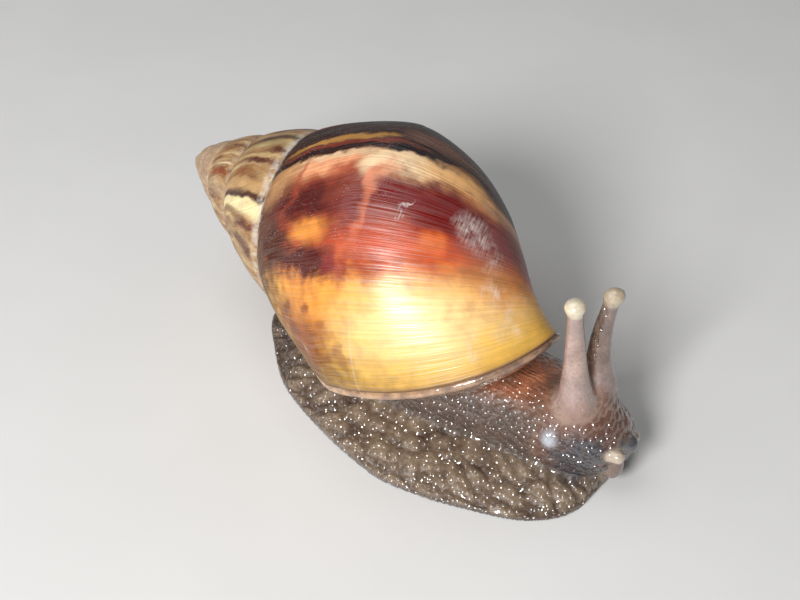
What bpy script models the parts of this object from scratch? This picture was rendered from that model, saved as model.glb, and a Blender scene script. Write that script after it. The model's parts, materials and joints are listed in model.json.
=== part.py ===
"""A giant african land snail, life size, crawling along +X with its floor at z = 0.

The shell is one coiled solid, built as a logarithmic spiral: its profile turns about the shell's
axis while it grows by a fixed factor each turn. The soft body is lofted from sections, trimmed
clear of the shell, and parted into the lengths that a person would name.
"""

import math

import bmesh
import bpy
from mathutils import Matrix, Vector

MM = 0.001
GAP = 0.3 * MM
SAME_POINT = 0.005 * MM
WELL_BEYOND = 150 * MM

# Shell: distances along the axis start at the apex, radii at the axis.
SHELL_APEX = Vector((-53.1, 2.1, 24.4)) * MM
LIP_RADIUS = 26.7 * MM
RADIAL_GROWTH = 1.569
AXIAL_GROWTH = 1.765
LIP_TURN = math.radians(19.8)
PERIPHERY_HEIGHT = 57.1 * MM
BASE_HEIGHT = 94.7 * MM
SHOULDER_LENGTH = 3.3 * MM
SHOULDER_ANGLE = math.radians(36.7)
PERIPHERY_UP = 4.9 * MM
PERIPHERY_DOWN = 14.6 * MM
BASE_FULLNESS = 15.6 * MM
BASE_SLOPE = math.radians(4.0)
SUTURE_BELOW_PERIPHERY = 0.04
LIP_SLANT = (-0.527, -0.124, -0.410, -0.550)
LIP_RETREAT = 0.045
WHORLS = 6
ROWS_PER_WHORL = 36
SHOULDER_COLUMNS = 6
BASE_COLUMNS = 14
APEX_DOME = 0.9 * MM

# Mantle: the soft edge that fills the mouth of the shell and shows as a bead under its lip.
# Each layer is a drop below the lip and an inset from its edge.
MANTLE_LAYERS = ((-2.0, 1.6), (0.32, 0.45), (0.9, -0.05), (1.6, 0.25), (2.3, 1.4), (4.2, 4.5))
MANTLE_BULGE = 5.0 * MM
MANTLE_INNER_POINTS = 8
MANTLE_ROLL = 0.9 * MM
MANTLE_ROLL_SPREAD = 3.2 * MM

# Foot: stations run from the tail, 0, to the front, 1.
FOOT_TAIL_X = -31.0 * MM
FOOT_LENGTH = 74.5 * MM
FOOT_Y = 0.5 * MM
FOOT_WIDTHS = (
    (0.00, 0.0),
    (0.02, 4.4),
    (0.09, 9.8),
    (0.22, 17.2),
    (0.34, 20.6),
    (0.47, 23.0),
    (0.58, 24.0),
    (0.70, 22.4),
    (0.80, 19.8),
    (0.89, 16.9),
    (0.95, 13.4),
    (0.985, 9.0),
    (1.00, 0.0),
)
FOOT_HEIGHTS = (
    (0.00, 1.2),
    (0.08, 3.0),
    (0.20, 5.6),
    (0.32, 7.4),
    (0.45, 8.2),
    (0.60, 7.4),
    (0.78, 6.2),
    (0.90, 4.8),
    (0.97, 3.2),
    (1.00, 1.4),
)
FAR_SIDE_WIDTH = 0.84
FOOT_STATIONS = 34
FIRST_STATION = 0.06
LAST_STATION = 0.94
FOOT_CUTS = (-10.0 * MM, 19.0 * MM)
# Half a cross-section: share of the half width and share of the height.
FOOT_SECTION = (
    (0.955, 0.0),
    (0.99, 0.07),
    (1.0, 0.17),
    (0.975, 0.27),
    (0.88, 0.42),
    (0.75, 0.60),
    (0.60, 0.78),
    (0.42, 0.92),
    (0.20, 0.99),
)

# Neck and head: place along X, centre across, lowest, highest, half width, all in millimetres.
NECK_SECTIONS = (
    (-12.0, -1.5, 2.0, 8.0, 8.0),
    (-6.0, -1.8, 1.8, 11.5, 10.5),
    (3.0, -1.6, 1.6, 15.0, 11.5),
    (11.0, -1.2, 1.5, 16.6, 11.2),
    (19.0, -0.6, 1.5, 17.2, 10.2),
    (25.0, 0.0, 1.5, 17.0, 9.4),
    (30.0, 0.3, 1.5, 17.0, 8.7),
    (34.0, 0.5, 1.6, 17.8, 8.2),
    (37.0, 0.8, 1.8, 17.6, 7.8),
    (39.8, 1.1, 2.2, 16.0, 7.1),
    (42.0, 1.5, 2.9, 14.0, 6.2),
    (43.6, 1.8, 3.9, 12.2, 4.9),
    (44.6, 2.0, 5.4, 10.6, 3.1),
)
NECK_ROUNDNESS = 2.2
NECK_SIDES = 20
HEAD_START_X = 33.0 * MM

# Feelers: root, tip and the radius at each share of the length, in millimetres.
UPPER_FEELER_RADII = (
    (-0.12, 4.0),
    (0.0, 3.5),
    (0.10, 2.9),
    (0.22, 2.35),
    (0.40, 1.95),
    (0.60, 1.65),
    (0.78, 1.42),
    (0.86, 1.38),
    (0.89, 1.58),
    (0.93, 1.84),
    (0.965, 1.6),
    (0.99, 0.95),
)
UPPER_FEELER_ROOTS = {"right": (36.6, -2.2, 17.6), "left": (37.6, 3.6, 16.8)}
UPPER_FEELER_TIPS = {"right": (34.9, -2.5, 37.6), "left": (38.0, 4.6, 36.8)}
UPPER_FEELER_BOWS = {"right": (0.0, 0.0, 0.0), "left": (-0.9, -0.6, 0.0)}
LOWER_FEELER_RADII = ((-0.3, 1.5), (0.0, 1.35), (0.45, 1.2), (0.8, 1.15), (0.95, 0.8))
LOWER_FEELER_ROOTS = {"right": (42.2, -1.9, 9.2), "left": (41.8, 4.8, 7.8)}
LOWER_FEELER_TIPS = {"right": (46.4, -1.5, 9.4), "left": (45.0, 6.1, 7.4)}
FEELER_SIDES = 14
EYE_RADIUS = 0.55 * MM
EYE_DIRECTION = {"right": Vector((0.05, 1.0, -0.1)), "left": Vector((0.05, 1.0, -0.1))}
EYE_PLACE = 0.93
EYE_DEPTH = 1.48 * MM

# Mouth: two lips and, below them, two broad flaps.
LIPS = {"right": (43.8, 0.5, 9.9, 1.4), "left": (44.8, 2.7, 8.8, 1.65)}
FLAPS = {"right": (43.9, -0.2, 5.7), "left": (42.8, 4.0, 5.3)}
FLAP_RADII = (1.75, 2.0, 2.9)
LOBE_SIDES = 12

COLOURS = {
    "shell": (0.42, 0.19, 0.06),
    "collar": (0.47, 0.34, 0.24),
    "foot": (0.10, 0.085, 0.07),
    "neck": (0.22, 0.10, 0.07),
    "head": (0.27, 0.14, 0.11),
    "feeler": (0.47, 0.35, 0.31),
    "mouth": (0.20, 0.21, 0.22),
    "eye": (0.01, 0.01, 0.01),
}


def clear_scene():
    """Removes every object of the startup scene."""
    for obj in list(bpy.data.objects):
        bpy.data.objects.remove(obj, do_unlink=True)


def material(name):
    """The material of that name, made once."""
    found = bpy.data.materials.get(name)
    if found:
        return found
    made = bpy.data.materials.new(name)
    made.use_nodes = True
    shader = made.node_tree.nodes["Principled BSDF"]
    shader.inputs["Base Color"].default_value = (*COLOURS[name], 1.0)
    shader.inputs["Roughness"].default_value = 0.35
    shader.inputs["Metallic"].default_value = 0.0
    return made


def to_object(bm, name, material_name):
    """Closes the bmesh's normals outwards and puts it in the scene as a smooth object."""
    bmesh.ops.remove_doubles(bm, verts=bm.verts, dist=SAME_POINT)
    bmesh.ops.recalc_face_normals(bm, faces=bm.faces)
    mesh = bpy.data.meshes.new(name)
    bm.to_mesh(mesh)
    bm.free()
    mesh.shade_smooth()
    mesh.materials.append(material(material_name))
    obj = bpy.data.objects.new(name, mesh)
    bpy.context.scene.collection.objects.link(obj)
    return obj


def smooth_between(table, share):
    """The table's value at that share, on a curve through its rows that never overshoots them."""
    last = len(table) - 2
    index = next((i for i in range(last + 1) if share <= table[i + 1][0]), last)
    (a, low), (b, high) = table[index], table[index + 1]

    def slope(i):
        if i == 0 or i == len(table) - 1:
            near = table[min(i + 1, len(table) - 1)]
            far = table[max(i - 1, 0)]
            return (near[1] - far[1]) / (near[0] - far[0])
        before = (table[i][1] - table[i - 1][1]) / (table[i][0] - table[i - 1][0])
        after = (table[i + 1][1] - table[i][1]) / (table[i + 1][0] - table[i][0])
        return 0.0 if before * after <= 0 else 2 * before * after / (before + after)

    width = b - a
    t = (share - a) / width
    rise = (2 * t**3 - 3 * t**2 + 1) * low + (3 * t**2 - 2 * t**3) * high
    bend = (t**3 - 2 * t**2 + t) * slope(index) + (t**3 - t**2) * slope(index + 1)
    return rise + bend * width


def bezier(points, t):
    """The point at t on a cubic curve with these four control points, each (radius, height)."""
    weights = ((1 - t) ** 3, 3 * t * (1 - t) ** 2, 3 * t**2 * (1 - t), t**3)
    return tuple(sum(w * p[axis] for w, p in zip(weights, points)) for axis in (0, 1))


def shell_columns():
    """The profile's points at the lip: (radius, height, slant), from the suture to the base.

    The slant is how far round the axis the lip reaches there, so that rows follow growth lines.
    """
    periphery = (LIP_RADIUS, PERIPHERY_HEIGHT)
    base = (0.0, BASE_HEIGHT)
    above_base = (
        BASE_FULLNESS * math.cos(BASE_SLOPE),
        BASE_HEIGHT - BASE_FULLNESS * math.sin(BASE_SLOPE),
    )
    lower = (periphery, (LIP_RADIUS, PERIPHERY_HEIGHT + PERIPHERY_DOWN), above_base, base)
    attached = bezier(lower, SUTURE_BELOW_PERIPHERY)
    suture = (attached[0] / RADIAL_GROWTH, attached[1] / AXIAL_GROWTH)
    shoulder = (
        suture[0] + SHOULDER_LENGTH * math.cos(SHOULDER_ANGLE),
        suture[1] + SHOULDER_LENGTH * math.sin(SHOULDER_ANGLE),
    )
    upper = (suture, shoulder, (LIP_RADIUS, PERIPHERY_HEIGHT - PERIPHERY_UP), periphery)
    shares = [-1 + i / SHOULDER_COLUMNS for i in range(SHOULDER_COLUMNS)]
    rest = [i / BASE_COLUMNS for i in range(BASE_COLUMNS + 1)]
    shares += [SUTURE_BELOW_PERIPHERY + t * (1 - SUTURE_BELOW_PERIPHERY) for t in rest]
    columns = []
    for share in shares:
        radius, height = bezier(upper, share + 1) if share < 0 else bezier(lower, share)
        first, second, third, corner = LIP_SLANT
        slant = first * share + second * share**2 + third * share**3
        slant += corner * max(share, 0.0) ** 6 - LIP_RETREAT
        columns.append((radius, height, slant))
    return columns


def spiral_point(radius, height, angle):
    """A profile point carried round the axis to that angle, where 0 is the lip."""
    growth = angle / math.tau
    radius = radius * RADIAL_GROWTH**growth
    height = height * AXIAL_GROWTH**growth
    turn = angle + LIP_TURN
    place = Vector((height, -radius * math.cos(turn), -radius * math.sin(turn)))
    return SHELL_APEX + place


def lip_points():
    """The lip's edge, from the suture to the base."""
    return [spiral_point(radius, height, slant) for radius, height, slant in shell_columns()]


def build_shell():
    """The shell: rows follow growth lines, and each whorl joins the one before along its suture."""
    columns = shell_columns()
    attach = SHOULDER_COLUMNS
    last = len(columns) - 1
    rows = WHORLS * ROWS_PER_WHORL
    first_bare = rows - ROWS_PER_WHORL
    step = (math.tau + columns[attach][2] - columns[0][2]) / ROWS_PER_WHORL
    bm = bmesh.new()
    grid = {}

    def vert(row, column):
        """The vertex there; a suture vertex is the one it meets on the whorl before."""
        if column == 0 and row >= ROWS_PER_WHORL:
            row, column = row - ROWS_PER_WHORL, attach
        if (row, column) not in grid:
            radius, height, slant = columns[column]
            angle = (row - rows) * step + slant
            grid[row, column] = bm.verts.new(spiral_point(radius, height, angle))
        return grid[row, column]

    for row in range(rows):
        for column in range(last if row >= first_bare else attach):
            corners = (
                vert(row, column),
                vert(row + 1, column),
                vert(row + 1, column + 1),
                vert(row, column + 1),
            )
            bm.faces.new(corners)
    start = [vert(0, column) for column in range(attach, -1, -1)]
    start += [vert(row, 0) for row in range(1, ROWS_PER_WHORL)]
    middle = sum((v.co for v in start), Vector()) / len(start)
    pole = bm.verts.new((min(v.co.x for v in start) - APEX_DOME, middle.y, middle.z))
    for one, two in zip(start, start[1:] + start[:1]):
        bm.faces.new((one, two, pole))
    mouth = [edge for edge in bm.edges if edge.is_boundary]
    bmesh.ops.triangle_fill(bm, use_beauty=True, use_dissolve=False, edges=mouth)
    return to_object(bm, "shell", "shell")


def loft(name, rings, material_name):
    """A closed solid through rings of equal count, each end closed by one face."""
    bm = bmesh.new()
    loops = [[bm.verts.new(point) for point in ring] for ring in rings]
    for one, two in zip(loops, loops[1:]):
        for i in range(len(one)):
            j = (i + 1) % len(one)
            bm.faces.new((one[i], one[j], two[j], two[i]))
    bm.faces.new(loops[0])
    bm.faces.new(loops[-1])
    return to_object(bm, name, material_name)


def grown(obj, distance):
    """A copy of the solid, larger by that distance all round, for use as a cutter."""
    mesh = obj.data.copy()
    bm = bmesh.new()
    bm.from_mesh(mesh)
    bm.normal_update()
    moves = [(v, v.normal * distance * v.calc_shell_factor()) for v in bm.verts]
    for vertex, move in moves:
        vertex.co += move
    bm.to_mesh(mesh)
    bm.free()
    copy = bpy.data.objects.new(obj.name + "_room", mesh)
    bpy.context.scene.collection.objects.link(copy)
    return copy


def box(x_low, x_high):
    """A cutter that spans the whole animal between two planes across X."""
    bm = bmesh.new()
    bmesh.ops.create_cube(bm, size=1.0)
    scale = Matrix.Diagonal((x_high - x_low, WELL_BEYOND, WELL_BEYOND, 1.0))
    move = Matrix.Translation(((x_low + x_high) / 2, 0.0, 0.0))
    bmesh.ops.transform(bm, matrix=move @ scale, verts=bm.verts)
    return to_object(bm, "span", "foot")


def combine(target, cutters, operation):
    """Applies the same Boolean with each cutter in turn, keeps the largest body, removes cutters."""
    for cutter in cutters:
        modifier = target.modifiers.new(cutter.name, "BOOLEAN")
        modifier.operation = operation
        modifier.solver = "EXACT"
        modifier.object = cutter
        bpy.context.view_layer.update()
        graph = bpy.context.evaluated_depsgraph_get()
        result = bpy.data.meshes.new_from_object(target.evaluated_get(graph))
        target.modifiers.clear()
        target.data = result
    keep_largest(target)
    for cutter in cutters:
        bpy.data.objects.remove(cutter, do_unlink=True)


def keep_largest(obj):
    """Leaves only the object's largest connected body, without slivers."""
    bm = bmesh.new()
    bm.from_mesh(obj.data)
    bmesh.ops.remove_doubles(bm, verts=bm.verts, dist=SAME_POINT)
    bmesh.ops.dissolve_degenerate(bm, edges=bm.edges, dist=SAME_POINT)
    left = set(bm.verts)
    bodies = []
    while left:
        queue = [left.pop()]
        body = set(queue)
        while queue:
            for edge in queue.pop().link_edges:
                for vertex in edge.verts:
                    if vertex in left:
                        left.discard(vertex)
                        body.add(vertex)
                        queue.append(vertex)
        bodies.append(body)
    bodies.sort(key=len)
    for body in bodies[:-1]:
        bmesh.ops.delete(bm, geom=list(body), context="VERTS")
    bmesh.ops.triangulate(bm, faces=bm.faces)
    bm.to_mesh(obj.data)
    bm.free()
    obj.data.shade_smooth()


def copy_of(obj, name):
    """A second object with its own mesh."""
    mesh = obj.data.copy()
    copy = bpy.data.objects.new(name, mesh)
    bpy.context.scene.collection.objects.link(copy)
    return copy


def build_mantle():
    """The mantle: layers of the shell mouth's outline, from inside the lip to under the neck."""
    lip = lip_points()
    normal = (lip[0] - lip[-1]).cross(lip[len(lip) // 2] - lip[-1]).normalized()
    if normal.z > 0:
        normal = -normal
    chord = lip[0] - lip[-1]
    across = chord.cross(normal).normalized()
    if across.y < 0:
        across = -across
    inner = []
    for i in range(1, MANTLE_INNER_POINTS + 1):
        t = i / (MANTLE_INNER_POINTS + 1)
        inner.append(lip[-1] + chord * t + across * MANTLE_BULGE * math.sin(math.pi * t))
    outline = lip + inner
    middle = sum(outline, Vector()) / len(outline)
    corner = max(lip, key=lambda point: point.x + point.y)
    rings = []
    for drop, inset in MANTLE_LAYERS:
        ring = []
        for point in outline:
            arm = point - middle
            near = math.exp(-(((point - corner).length / MANTLE_ROLL_SPREAD) ** 2))
            # At the lip's front corner the mantle rolls out past the shell's edge.
            out = MANTLE_ROLL * near if 0.0 < drop < 2.0 else 0.0
            ring.append(point + arm.normalized() * (out - inset * MM) + normal * drop * MM)
        rings.append(ring)
    return loft("mantle", rings, "collar")


def build_foot():
    """The whole foot before it is parted: a flat sole, a thin rim and sloping sides."""
    rings = []
    for i in range(FOOT_STATIONS + 1):
        turn = FIRST_STATION + (LAST_STATION - FIRST_STATION) * i / FOOT_STATIONS
        share = 0.5 - 0.5 * math.cos(math.pi * turn)
        width = smooth_between(FOOT_WIDTHS, share) * MM
        height = smooth_between(FOOT_HEIGHTS, share) * MM
        x = FOOT_TAIL_X + FOOT_LENGTH * share
        near = [(-width * across, height * up) for across, up in FOOT_SECTION]
        far = [(width * FAR_SIDE_WIDTH * across, height * up) for across, up in FOOT_SECTION]
        section = near + [(0.0, height)] + far[::-1]
        rings.append([Vector((x, FOOT_Y + y, z)) for y, z in section])
    return loft("foot", rings, "foot")


def build_neck_and_head():
    """The neck and head in one, through rounded sections."""
    rings = []
    for x, y, low, high, half_width in NECK_SECTIONS:
        ring = []
        for i in range(NECK_SIDES):
            turn = math.tau * i / NECK_SIDES
            c, s = math.cos(turn), math.sin(turn)
            across = math.copysign(abs(c) ** (2 / NECK_ROUNDNESS), c) * half_width
            up = math.copysign(abs(s) ** (2 / NECK_ROUNDNESS), s) * (high - low) / 2
            ring.append(Vector((x, y + across, (low + high) / 2 + up)) * MM)
        rings.append(ring)
    return loft("neck", rings, "neck")


def feeler(name, root, tip, bow, radii, material_name):
    """A round feeler from root to tip, bowed at its middle, whose radius follows its table."""
    root = Vector(root) * MM
    axis = Vector(tip) * MM - root
    turn = axis.to_track_quat("Z", "Y")
    rings = []
    for share, radius in radii:
        middle = root + axis * share + Vector(bow) * MM * math.sin(math.pi * max(share, 0.0))
        ring = []
        for i in range(FEELER_SIDES):
            angle = math.tau * i / FEELER_SIDES
            arm = Vector((math.cos(angle), math.sin(angle), 0.0)) * radius * MM
            ring.append(middle + turn @ arm)
        rings.append(ring)
    return loft(name, rings, material_name)


def ball(name, centre, radii, material_name):
    """A closed ellipsoid."""
    bm = bmesh.new()
    bmesh.ops.create_uvsphere(bm, u_segments=LOBE_SIDES, v_segments=LOBE_SIDES - 4, radius=1.0)
    move = Matrix.Translation(centre) @ Matrix.Diagonal((*radii, 1.0))
    bmesh.ops.transform(bm, matrix=move, verts=bm.verts)
    return to_object(bm, name, material_name)


def stand_on_floor():
    """Moves every solid so that the middle of the animal's box is over the origin."""
    solids = list(bpy.context.scene.collection.objects)
    corners = [vertex.co for obj in solids for vertex in obj.data.vertices]
    low = Vector([min(c[axis] for c in corners) for axis in range(3)])
    high = Vector([max(c[axis] for c in corners) for axis in range(3)])
    shift = Vector((-(low.x + high.x) / 2, -(low.y + high.y) / 2, -low.z))
    for obj in solids:
        obj.data.transform(Matrix.Translation(shift))


def main():
    """Builds the shell, then each length of the body, clear of what it meets."""
    clear_scene()
    shell = build_shell()
    mantle = build_mantle()
    combine(mantle, [grown(shell, GAP)], "DIFFERENCE")
    neck = build_neck_and_head()
    combine(neck, [grown(shell, GAP), grown(mantle, GAP)], "DIFFERENCE")
    head = copy_of(neck, "head")
    head.data.materials[0] = material("head")
    foot = build_foot()
    combine(foot, [grown(shell, GAP), grown(mantle, GAP), grown(neck, GAP)], "DIFFERENCE")

    combine(neck, [box(-WELL_BEYOND, HEAD_START_X - GAP / 2)], "INTERSECT")
    combine(head, [box(HEAD_START_X + GAP / 2, WELL_BEYOND)], "INTERSECT")
    cuts = (-WELL_BEYOND, *FOOT_CUTS, WELL_BEYOND)
    for name, low, high in zip(("foot_tail", "foot_middle", "foot_front"), cuts, cuts[1:]):
        length = copy_of(foot, name)
        combine(length, [box(low + GAP / 2, high - GAP / 2)], "INTERSECT")
    bpy.data.objects.remove(foot, do_unlink=True)
    foot_front = bpy.data.objects["foot_front"]

    for side in ("right", "left"):
        root, tip = UPPER_FEELER_ROOTS[side], UPPER_FEELER_TIPS[side]
        bow = UPPER_FEELER_BOWS[side]
        upper = feeler("feeler_upper_" + side, root, tip, bow, UPPER_FEELER_RADII, "feeler")
        others = [grown(head, GAP)]
        if side == "left":
            others.append(grown(bpy.data.objects["feeler_upper_right"], GAP))
        combine(upper, others, "DIFFERENCE")
        bulb = Vector(root).lerp(Vector(tip), EYE_PLACE) * MM
        place = bulb + EYE_DIRECTION[side].normalized() * EYE_DEPTH
        eye = ball("eye_" + side, place, (EYE_RADIUS,) * 3, "eye")
        combine(upper, [grown(eye, GAP)], "DIFFERENCE")

        x, y, z, radius = LIPS[side]
        lip = ball("lip_" + side, Vector((x, y, z)) * MM, (radius * MM,) * 3, "mouth")
        combine(lip, [grown(head, GAP)], "DIFFERENCE")
        x, y, z = FLAPS[side]
        radii = [radius * MM for radius in FLAP_RADII]
        flap = ball("flap_" + side, Vector((x, y, z)) * MM, radii, "head")
        combine(flap, [grown(head, GAP), grown(foot_front, GAP)], "DIFFERENCE")
        root, tip = LOWER_FEELER_ROOTS[side], LOWER_FEELER_TIPS[side]
        straight = (0.0, 0.0, 0.0)
        lower = feeler("feeler_lower_" + side, root, tip, straight, LOWER_FEELER_RADII, "feeler")
        combine(lower, [grown(head, GAP), grown(lip, GAP), grown(flap, GAP)], "DIFFERENCE")
    stand_on_floor()


main()
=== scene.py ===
"""A giant african land snail, life size: a coiled shell, one seamless wet skin and two eyes.

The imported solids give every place. The shell is built finer than its solid, on the same spiral,
and the skin is drawn over blanks of the foot, neck, head, feelers and mantle, so it has no seam.
"""

import json
import logging
import math
from collections.abc import Callable, Sequence
from dataclasses import dataclass, field
from enum import Enum
from functools import partial

import bpy
import numpy as np
from mathutils import Matrix, Vector, noise
from mathutils.bvhtree import BVHTree

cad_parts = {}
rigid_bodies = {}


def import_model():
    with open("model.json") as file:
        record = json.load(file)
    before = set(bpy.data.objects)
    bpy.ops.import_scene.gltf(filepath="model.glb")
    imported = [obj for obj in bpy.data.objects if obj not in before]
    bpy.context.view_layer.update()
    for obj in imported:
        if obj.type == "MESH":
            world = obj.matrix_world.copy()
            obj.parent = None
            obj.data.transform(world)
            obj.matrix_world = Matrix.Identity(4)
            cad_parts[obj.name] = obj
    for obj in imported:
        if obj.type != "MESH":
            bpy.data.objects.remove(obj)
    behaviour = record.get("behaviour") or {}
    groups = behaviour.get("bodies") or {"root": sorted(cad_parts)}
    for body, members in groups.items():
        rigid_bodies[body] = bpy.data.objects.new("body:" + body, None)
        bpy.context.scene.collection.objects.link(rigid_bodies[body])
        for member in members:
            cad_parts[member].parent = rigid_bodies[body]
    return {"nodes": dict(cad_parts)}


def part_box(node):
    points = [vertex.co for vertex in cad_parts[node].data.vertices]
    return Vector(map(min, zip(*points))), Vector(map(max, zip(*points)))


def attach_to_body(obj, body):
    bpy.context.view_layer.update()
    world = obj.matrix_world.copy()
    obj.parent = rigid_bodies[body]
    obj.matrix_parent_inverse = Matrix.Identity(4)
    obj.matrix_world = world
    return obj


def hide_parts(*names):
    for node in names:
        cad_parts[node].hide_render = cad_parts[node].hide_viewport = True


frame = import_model()

LOG = logging.getLogger("snail")
MM = 0.001
BODY = "root"
# The shell's lowest X and Y where the solids were drawn, before they were packed.
SHELL_CORNER = (-52.14, -23.919)
STRAND = "strand"
GROWTH_MAP = "growth"
BALL_SEGMENTS, BALL_RINGS = 32, 20
WANDER_KNOTS = 4096
Point = tuple[float, float, float]
Socket = bpy.types.NodeSocket
Adder = Callable[..., bpy.types.Node]


class Slot(Enum):
    """The record's material slots."""

    SHELL = "shell"
    SKIN = "skin"
    EYE = "eye"


class Mask(Enum):
    """Where on the skin a point lies, each a value from 0 to 1 kept on the mesh."""

    FOOT = "on_foot"
    NECK = "on_neck"
    HEAD = "on_head"
    FEELER = "on_feeler"
    MANTLE = "on_mantle"
    LIP = "on_lip"
    NUB = "on_nub"
    FLAP = "on_flap"
    WARM = "warm"
    BULB = "bulb"
    PALE = "pale"
    SKIRT = "skirt"
    # Painted shade: the creases between pads and grains, the mantle under the lip's front and the far
    # feeler take more of the deep tone; the foot darkens towards its tail.
    GROOVE = "groove"
    RIM = "rim"
    # Painted shade along the join of foot and neck, with a dark bluish patch on the head's side.
    SHADE = "shade"
    PORE = "pore"


class Seed(Enum):
    """The random seed of each kind of unevenness."""

    RIBS = 11
    FINE_RIBS = 12
    SWELLS = 13
    TEETH = 14
    MANTLE = 21


# ---------------------------------------------------------------- helpers


def packed_shift() -> Vector:
    """How far packing moved the solids from where they were drawn, in metres."""
    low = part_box("shell")[0]
    return Vector((low.x - SHELL_CORNER[0] * MM, low.y - SHELL_CORNER[1] * MM, 0.0))


def linear(code: str) -> tuple[float, float, float, float]:
    """The linear colour of an sRGB hex value.

    Args:
        code: six hex digits after a hash sign.

    Returns:
        Red, green, blue and alpha for a shader.
    """
    parts = [int(code[i : i + 2], 16) / 255 for i in (1, 3, 5)]
    red, green, blue = (p / 12.92 if p <= 0.04045 else ((p + 0.055) / 1.055) ** 2.4 for p in parts)
    return red, green, blue, 1.0


def feed(node: bpy.types.Node, inputs: dict) -> None:
    """Sets or links a node's inputs.

    Args:
        node: the node that takes them.
        inputs: for each input's name or number a value, a socket to link, or a node whose first
            output is linked.
    """
    for key, value in inputs.items():
        if isinstance(value, bpy.types.Node):
            value = value.outputs[0]
        if isinstance(value, Socket):
            node.id_data.links.new(value, node.inputs[key])
        else:
            node.inputs[key].default_value = value


def add_node(
    tree: bpy.types.NodeTree,
    kind: str,
    inputs: dict | None = None,
    stops: Sequence[tuple[float, str]] = (),
    **settings: object,
) -> bpy.types.Node:
    """Adds one node, sets it up and links it.

    Args:
        tree: the material's node tree.
        kind: the node's type, without the ShaderNode at its front.
        inputs: what feeds the node's inputs.
        stops: places and hex colours, for a colour ramp.
        settings: the node's own properties.

    Returns:
        The new node.
    """
    node = tree.nodes.new("ShaderNode" + kind)
    for name, value in settings.items():
        setattr(node, name, value)
    feed(node, inputs or {})
    for index, (place, code) in enumerate(stops):
        elements = node.color_ramp.elements
        element = elements[index] if index < 2 else elements.new(place)
        element.position = place
        element.color = linear(code)
    return node


def blank_material(name: str) -> tuple[bpy.types.Material, bpy.types.Node, Adder]:
    """A new material, its shader and the function that adds a node to its tree.

    Args:
        name: the material's name.

    Returns:
        The material, its principled shader and the function that adds a node.
    """
    material = bpy.data.materials.new(name)
    material.use_nodes = True
    tree = material.node_tree
    return material, tree.nodes["Principled BSDF"], partial(add_node, tree)


def smoothstep(low: float, high: float, value: np.ndarray) -> np.ndarray:
    """A smooth rise from 0 at low to 1 at high."""
    t = np.clip((value - low) / (high - low), 0.0, 1.0)
    return t * t * (3.0 - 2.0 * t)


def wander(places: np.ndarray, seed: Seed) -> np.ndarray:
    """Smooth random values from -1 to 1 along a line, one knot at each whole number.

    Args:
        places: where to read the values.
        seed: picks the row of random knots.

    Returns:
        A value for each place.
    """
    knots = np.random.default_rng(seed.value).uniform(-1.0, 1.0, WANDER_KNOTS)
    cell = np.floor(places).astype(int)
    t = places - cell
    t = t * t * (3.0 - 2.0 * t)
    return knots[cell % WANDER_KNOTS] * (1.0 - t) + knots[(cell + 1) % WANDER_KNOTS] * t


def smooth_columns(table: Sequence[Sequence[float]], places: np.ndarray) -> np.ndarray:
    """Reads every column of a table between its rows, on curves that never overshoot.

    Args:
        table: rows whose first value is the place, in rising order.
        places: where to read it.

    Returns:
        One row of the other columns for each place.
    """
    rows = np.asarray(table, float)
    x, y = rows[:, 0], rows[:, 1:]
    chord = np.diff(y, axis=0) / np.diff(x)[:, None]
    slope = np.zeros_like(y)
    product = chord[1:] * chord[:-1]
    total = np.where(product > 0, chord[1:] + chord[:-1], 1.0)
    slope[1:-1] = np.where(product > 0, 2.0 * product / total, 0.0)
    slope[0], slope[-1] = chord[0], chord[-1]
    i = np.clip(np.searchsorted(x, places) - 1, 0, len(x) - 2)
    width = (x[i + 1] - x[i])[:, None]
    t = (places - x[i])[:, None] / width
    rise = (2 * t**3 - 3 * t**2 + 1) * y[i] + (3 * t**2 - 2 * t**3) * y[i + 1]
    bend = (t**3 - 2 * t**2 + t) * slope[i] + (t**3 - t**2) * slope[i + 1]
    return rise + bend * width


def distance(points: np.ndarray, centre: Sequence[float], radii: Sequence[float]) -> np.ndarray:
    """How far points are from a centre, in shares of an ellipsoid's radii."""
    return np.linalg.norm((points - np.array(centre)) / np.array(radii), axis=1)


def turned(ring: list[int]) -> list[int]:
    """The ring, started one point later."""
    return ring[1:] + ring[:1]


def bezier(points: Sequence[tuple[float, float]], t: np.ndarray) -> np.ndarray:
    """The points at t on a cubic curve with these four control points.

    Args:
        points: the four control points.
        t: shares of the way along, from 0 to 1.

    Returns:
        One point for each share.
    """
    p = np.asarray(points, float)
    s = t[:, None]
    curve = (1 - s) ** 3 * p[0] + 3 * s * (1 - s) ** 2 * p[1]
    return curve + 3 * s**2 * (1 - s) * p[2] + s**3 * p[3]


def pick(*objects: bpy.types.Object) -> None:
    """Selects only these objects and makes the first one active.

    Args:
        objects: what to select; with none, nothing stays selected.
    """
    for obj in bpy.context.view_layer.objects:
        obj.select_set(False)
    for obj in objects:
        obj.select_set(True)
    bpy.context.view_layer.objects.active = objects[0] if objects else None


def finish_with(obj: bpy.types.Object, kind: str, **settings: object) -> None:
    """Adds a modifier with these settings to the object and applies it.

    Args:
        obj: the object.
        kind: the modifier's type.
        settings: the modifier's own settings.
    """
    pick(obj)
    modifier = obj.modifiers.new(kind.lower(), kind)
    for name, value in settings.items():
        setattr(modifier, name, value)
    bpy.ops.object.modifier_apply(modifier=modifier.name)


def place_object(name: str, data: bpy.types.ID) -> bpy.types.Object:
    """A new object in the scene that holds this data.

    Args:
        name: the object's name.
        data: its mesh, light or camera.

    Returns:
        The object, at the origin.
    """
    obj = bpy.data.objects.new(name, data)
    bpy.context.scene.collection.objects.link(obj)
    return obj


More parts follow.
